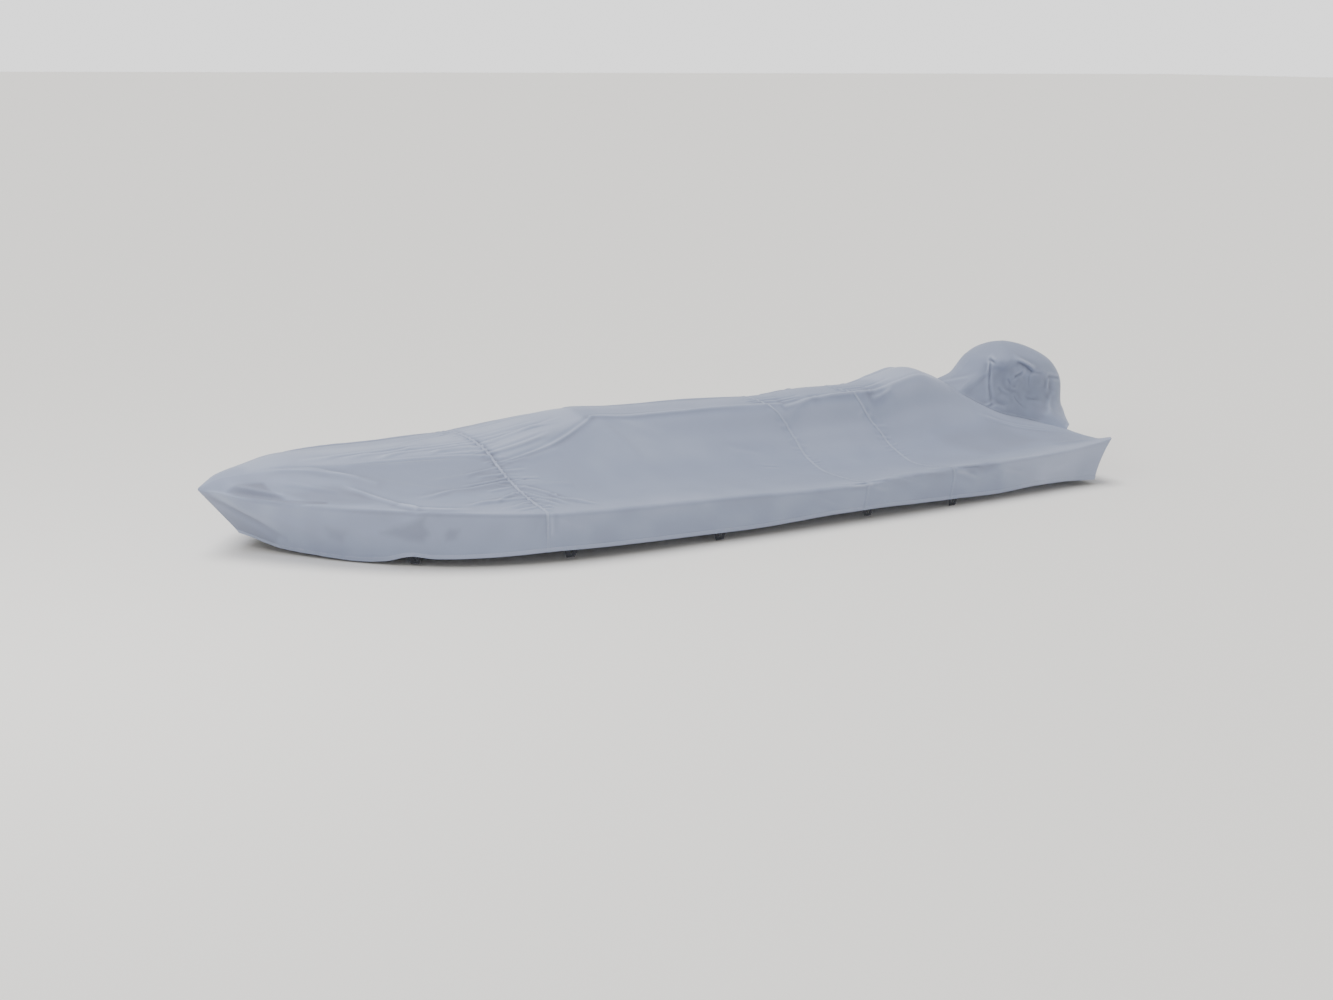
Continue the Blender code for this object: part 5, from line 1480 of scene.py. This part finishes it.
WEAR_FROM = (0.35, 0.75)     # values of the noise between which it is
WEAR = (0.0, 0.6)
WEBBING_COLOURS = ((0.011, 0.013, 0.021, 1.0), (0.035, 0.039, 0.055, 1.0))
THREAD_COLOURS = ((0.42, 0.455, 0.53, 1.0), (0.56, 0.595, 0.66, 1.0))


def plain_weave(nodes):
    """Over-and-under pattern of warp and weft on the cut pattern."""
    warp, weft = (nodes.ribs(coordinate, THREAD_PITCH) for coordinate in nodes.pattern()[1:])
    threads = nodes.math("MULTIPLY_ADD", nodes.math("ABSOLUTE", warp), 0.5,
                         nodes.math("ABSOLUTE", weft))
    return nodes.math("MULTIPLY_ADD", nodes.math("MULTIPLY", warp, weft), 0.6, threads)


def cloth_material():
    """Grey coated polyester: plain weave, soft crinkles, faint mottling, and the painted light,
    painted shade and wear of the pale attribute.
    """
    nodes = Nodes(bpy.data.materials.new("grey_coated_cloth"))
    place = nodes.place()
    pale = nodes.node("ShaderNodeAttribute", attribute_name="pale").outputs["Fac"]
    mottle = nodes.noise(place, scale=2.2, detail=3.0, rough=0.55)
    heather = nodes.noise(place, GRAIN_SCALE, detail=2.0, rough=0.6)
    lift = nodes.math("ADD", pale, nodes.math("ADD",
                                              nodes.between(mottle, *NOISE_MIDDLE, *MOTTLE),
                                              nodes.between(heather, *NOISE_MIDDLE, *MOTTLE)))
    colour = nodes.mix(nodes.between(lift, 0.0, LIFT_RANGE, 0.0, 1.0), BASE_COLOUR, PALE_COLOUR)
    colour = nodes.mix(nodes.between(lift, 0.0, -LIFT_RANGE, 0.0, 1.0), colour, SHADE_COLOUR)
    crinkle = nodes.noise(place, CRINKLE_SCALE, detail=4.0, rough=0.55)
    crinkle = nodes.bump(crinkle, strength=0.35, distance=0.0022)
    rough = nodes.noise(place, scale=9.0, detail=3.0, rough=0.5)
    rough = nodes.between(rough, *NOISE_MIDDLE, *CLOTH_ROUGH)
    return nodes.shade(Base_Color=colour, Roughness=rough, Specular_IOR_Level=0.35,
                       Normal=nodes.bump(plain_weave(nodes), strength=0.35, distance=0.00022,
                                         Normal=crinkle),
                       Sheen_Weight=0.12, Sheen_Roughness=0.45)


def webbing_material():
    """Dark woven strap with ribs along it and slightly worn ribs."""
    nodes = Nodes(bpy.data.materials.new("dark_webbing"))
    uv, along, across = nodes.pattern()
    ribs = nodes.math("ABSOLUTE", nodes.ribs(along, RIB_PITCH))
    height = nodes.math("MULTIPLY_ADD", nodes.ribs(across, 0.5 * RIB_PITCH), 0.35, ribs)
    wear = nodes.noise(uv, scale=300.0, detail=3.0, rough=0.6)
    factor = nodes.math("MULTIPLY", nodes.between(height, *RIB_CREST, 0.0, 1.0),
                        nodes.between(wear, *WEAR_FROM, *WEAR))
    return nodes.shade(Base_Color=nodes.mix(factor, *WEBBING_COLOURS),
                       Normal=nodes.bump(height, strength=0.7, distance=0.0005), Sheen_Weight=0.10,
                       Roughness=nodes.between(wear, *NOISE_MIDDLE, *WEBBING_ROUGH))


def thread_material():
    """Pale twisted thread of the seams and hems."""
    nodes = Nodes(bpy.data.materials.new("pale_thread"))
    twist = nodes.noise(nodes.place(), scale=1400.0, detail=2.0, rough=0.6)
    colour = nodes.mix(nodes.between(twist, *NOISE_MIDDLE, 0.0, 1.0), *THREAD_COLOURS)
    return nodes.shade(Base_Color=colour, Roughness=0.6, Sheen_Weight=0.2,
                       Normal=nodes.bump(twist, strength=0.5, distance=0.0002))


# ---------------------------------------------------------------- floor, light and camera
FLOOR_BELOW = 0.004
FLOOR_HALF = 160.0
FLOOR_COLOUR = (0.96, 0.94, 0.90, 1.0)
KEY_FROM = (-0.10, 0.22, 0.95)       # toward a broad soft key, nearly overhead
KEY_STRENGTH = 2.5
KEY_ANGLE = math.radians(38.0)
BOW_LIGHT_PLACE = (-4.2, -1.6, 3.2)
BOW_LIGHT_AIM = (-2.2, 0.0, 0.0)
BOW_LIGHT_SIZE = 2.5
BOW_LIGHT_POWER = 70.0
WALL_GLOW = 1.70             # brightness of the studio's walls and of its ceiling
CEILING_GLOW = 0.50
WALL_TOP = (0.05, 0.55)      # sines of the heights between which the walls turn into the ceiling


def add_floor():
    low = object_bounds()[0].z - FLOOR_BELOW
    corners = [(FLOOR_HALF * a, FLOOR_HALF * b, low)
               for a, b in ((-1, -1), (1, -1), (1, 1), (-1, 1))]
    mesh = bpy.data.meshes.new("floor")
    mesh.from_pydata(corners, [], [(0, 1, 2, 3)])
    nodes = Nodes(bpy.data.materials.new("pale_floor"))
    mesh.materials.append(nodes.shade(Base_Color=FLOOR_COLOUR, Roughness=0.9,
                                      Specular_IOR_Level=0.0))
    floor = bpy.data.objects.new("floor", mesh)
    bpy.context.collection.objects.link(floor)


def add_lamp(name, kind, place, toward, **values):
    data = bpy.data.lights.new(name, kind)
    for key, value in values.items():
        setattr(data, key, value)
    lamp = bpy.data.objects.new(name, data)
    lamp.location = place
    lamp.rotation_euler = Vector(toward).to_track_quat("-Z", "Y").to_euler()
    bpy.context.collection.objects.link(lamp)


def add_lights():
    """Soft key from above, a small light over the bow, and pale walls all round."""
    add_lamp("key", "SUN", (0.0, 0.0, 5.0), -Vector(KEY_FROM), energy=KEY_STRENGTH,
             angle=KEY_ANGLE)
    add_lamp("bow_light", "AREA", BOW_LIGHT_PLACE, Vector(BOW_LIGHT_AIM) - Vector(BOW_LIGHT_PLACE),
             size=BOW_LIGHT_SIZE, energy=BOW_LIGHT_POWER)
    world = bpy.data.worlds.new("studio")
    bpy.context.scene.world = world
    nodes = Nodes(world)
    parts = nodes.node("ShaderNodeSeparateXYZ")
    nodes.put(parts, {0: nodes.node("ShaderNodeTexCoord").outputs["Generated"]})
    glow = nodes.between(parts.outputs["Z"], *WALL_TOP, WALL_GLOW, CEILING_GLOW, "SMOOTHSTEP")
    nodes.put(nodes.tree.nodes["Background"], {"Color": (1.0, 1.0, 1.0, 1.0), "Strength": glow})


def add_camera():
    """Camera at the photograph's viewpoint."""
    back = Vector((math.sin(VIEW_AZIMUTH) * math.cos(VIEW_ELEVATION),
                   -math.cos(VIEW_AZIMUTH) * math.cos(VIEW_ELEVATION), math.sin(VIEW_ELEVATION)))
    right = (-back).cross(Vector((0.0, 0.0, 1.0))).normalized()
    up = right.cross(-back)
    x_axis = math.cos(VIEW_ROLL) * right + math.sin(VIEW_ROLL) * up
    y_axis = math.cos(VIEW_ROLL) * up - math.sin(VIEW_ROLL) * right
    matrix = Matrix((x_axis, y_axis, back)).transposed().to_4x4()
    matrix.translation = Vector(VIEW_TARGET) + VIEW_DISTANCE * back + Vector(SHIFT.tolist())
    data = bpy.data.cameras.new("camera")
    data.sensor_fit = "HORIZONTAL"
    data.sensor_width = SENSOR
    data.lens = FOCAL_PIXELS / IMAGE_WIDTH * SENSOR
    data.clip_start = 0.1
    data.clip_end = 400.0
    camera = bpy.data.objects.new("camera", data)
    camera.matrix_world = matrix
    bpy.context.collection.objects.link(camera)
    bpy.context.scene.camera = camera


# ---------------------------------------------------------------- putting it together
SHEET_COLUMNS = ("piece", "node", "width", "length", "area")
SHEETS = (("cover_bow", "panel_bow", 2.45, 1.75, 2.60),
          ("cover_fore", "panel_fore", 2.45, 1.83, 4.40),
          ("cover_mid", "panel_mid", 2.40, 0.60, 1.42),
          ("cover_stern", "panel_stern", 2.30, 1.45, 2.60),
          ("cover_hood", "stern_hood", 1.30, 1.10, 0.88))


def stitch_lines(panel, first, seam=None):
    """Lines of stitches along both hems of a panel and its front seam, with the cloth's normals."""
    normals = grid_normals(panel.points)
    lines = [(panel.points[first:, column], normals[first:, column])
             for column in (HEM_STITCH_COLUMN, COLUMNS - 1 - HEM_STITCH_COLUMN)]
    if seam is not None:
        rows = [panel.row_at(seam + offset) for offset in SEAM_STITCH_ROWS]
        lines += [(panel.points[row, 2:-2], normals[row, 2:-2]) for row in rows]
    return lines


def main():
    cloth = cloth_material()
    webbing = webbing_material()
    thread = thread_material()

    grid = cover_grid()
    relief, grid.worn = cloth_relief(grid)
    grid.worn += painted_light_and_mottle(grid)
    normals = grid_normals(grid.points)
    grid.points += normals * (relief + hem_rise(grid.above_hem))[:, :, None]

    panels = [grid.part(0, grid.row_at(SEAMS[0]))]
    for seam, end in zip(SEAMS, SEAMS[1:] + (LENGTH,)):
        first = grid.row_at(seam - FELL)
        last = grid.row_at(end)
        panel = grid.part(first, last)
        rise = fell_rise(panel.rows - seam)
        panel.points += normals[first:last + 1] * rise[:, None, None]
        panels.append(panel)

    pieces = {"cover_bow": bow_piece(panels[0], cloth)}
    for name, panel, seam in zip(("cover_fore", "cover_mid"), panels[1:], SEAMS):
        pieces[name] = add_cloth(name, grid_quads(panel.index()), cloth_fields(panel, seam), cloth)
    pieces["cover_stern"], flaps = stern_piece(panels[3], cloth)
    pieces["cover_hood"] = hood_piece(panels[3], cloth)

    lines = [stitch_lines(panels[0], BOW_STITCH_START)]
    lines += [stitch_lines(panel, 0, seam) for panel, seam in zip(panels[1:], SEAMS)]
    column = EDGE - HEM_STITCH_COLUMN
    lines[3][2:2] = [(flap[:, column], -grid_normals(flap)[:, column]) for flap in flaps]
    lines.append([])
    for sheet, rows in zip(named_rows(SHEETS, SHEET_COLUMNS), lines):
        piece = pieces[sheet["piece"]]
        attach(piece, "root")
        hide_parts(sheet["node"])
        stitches = [add_stitches("stitches_" + sheet["node"], rows, thread)] if rows else []
        for stitch in stitches:
            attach(stitch, "root")
    for side, word in ((-1, "port"), (1, "starboard")):
        for number, x in enumerate(LOOP_STATIONS, start=1):
            loop = loop_piece(f"webbing_{word}_{number}", x, side, webbing)
            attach(loop, "root")
            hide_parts(f"loop_{word}_{number}")
    add_floor()
    add_lights()
    add_camera()


main()
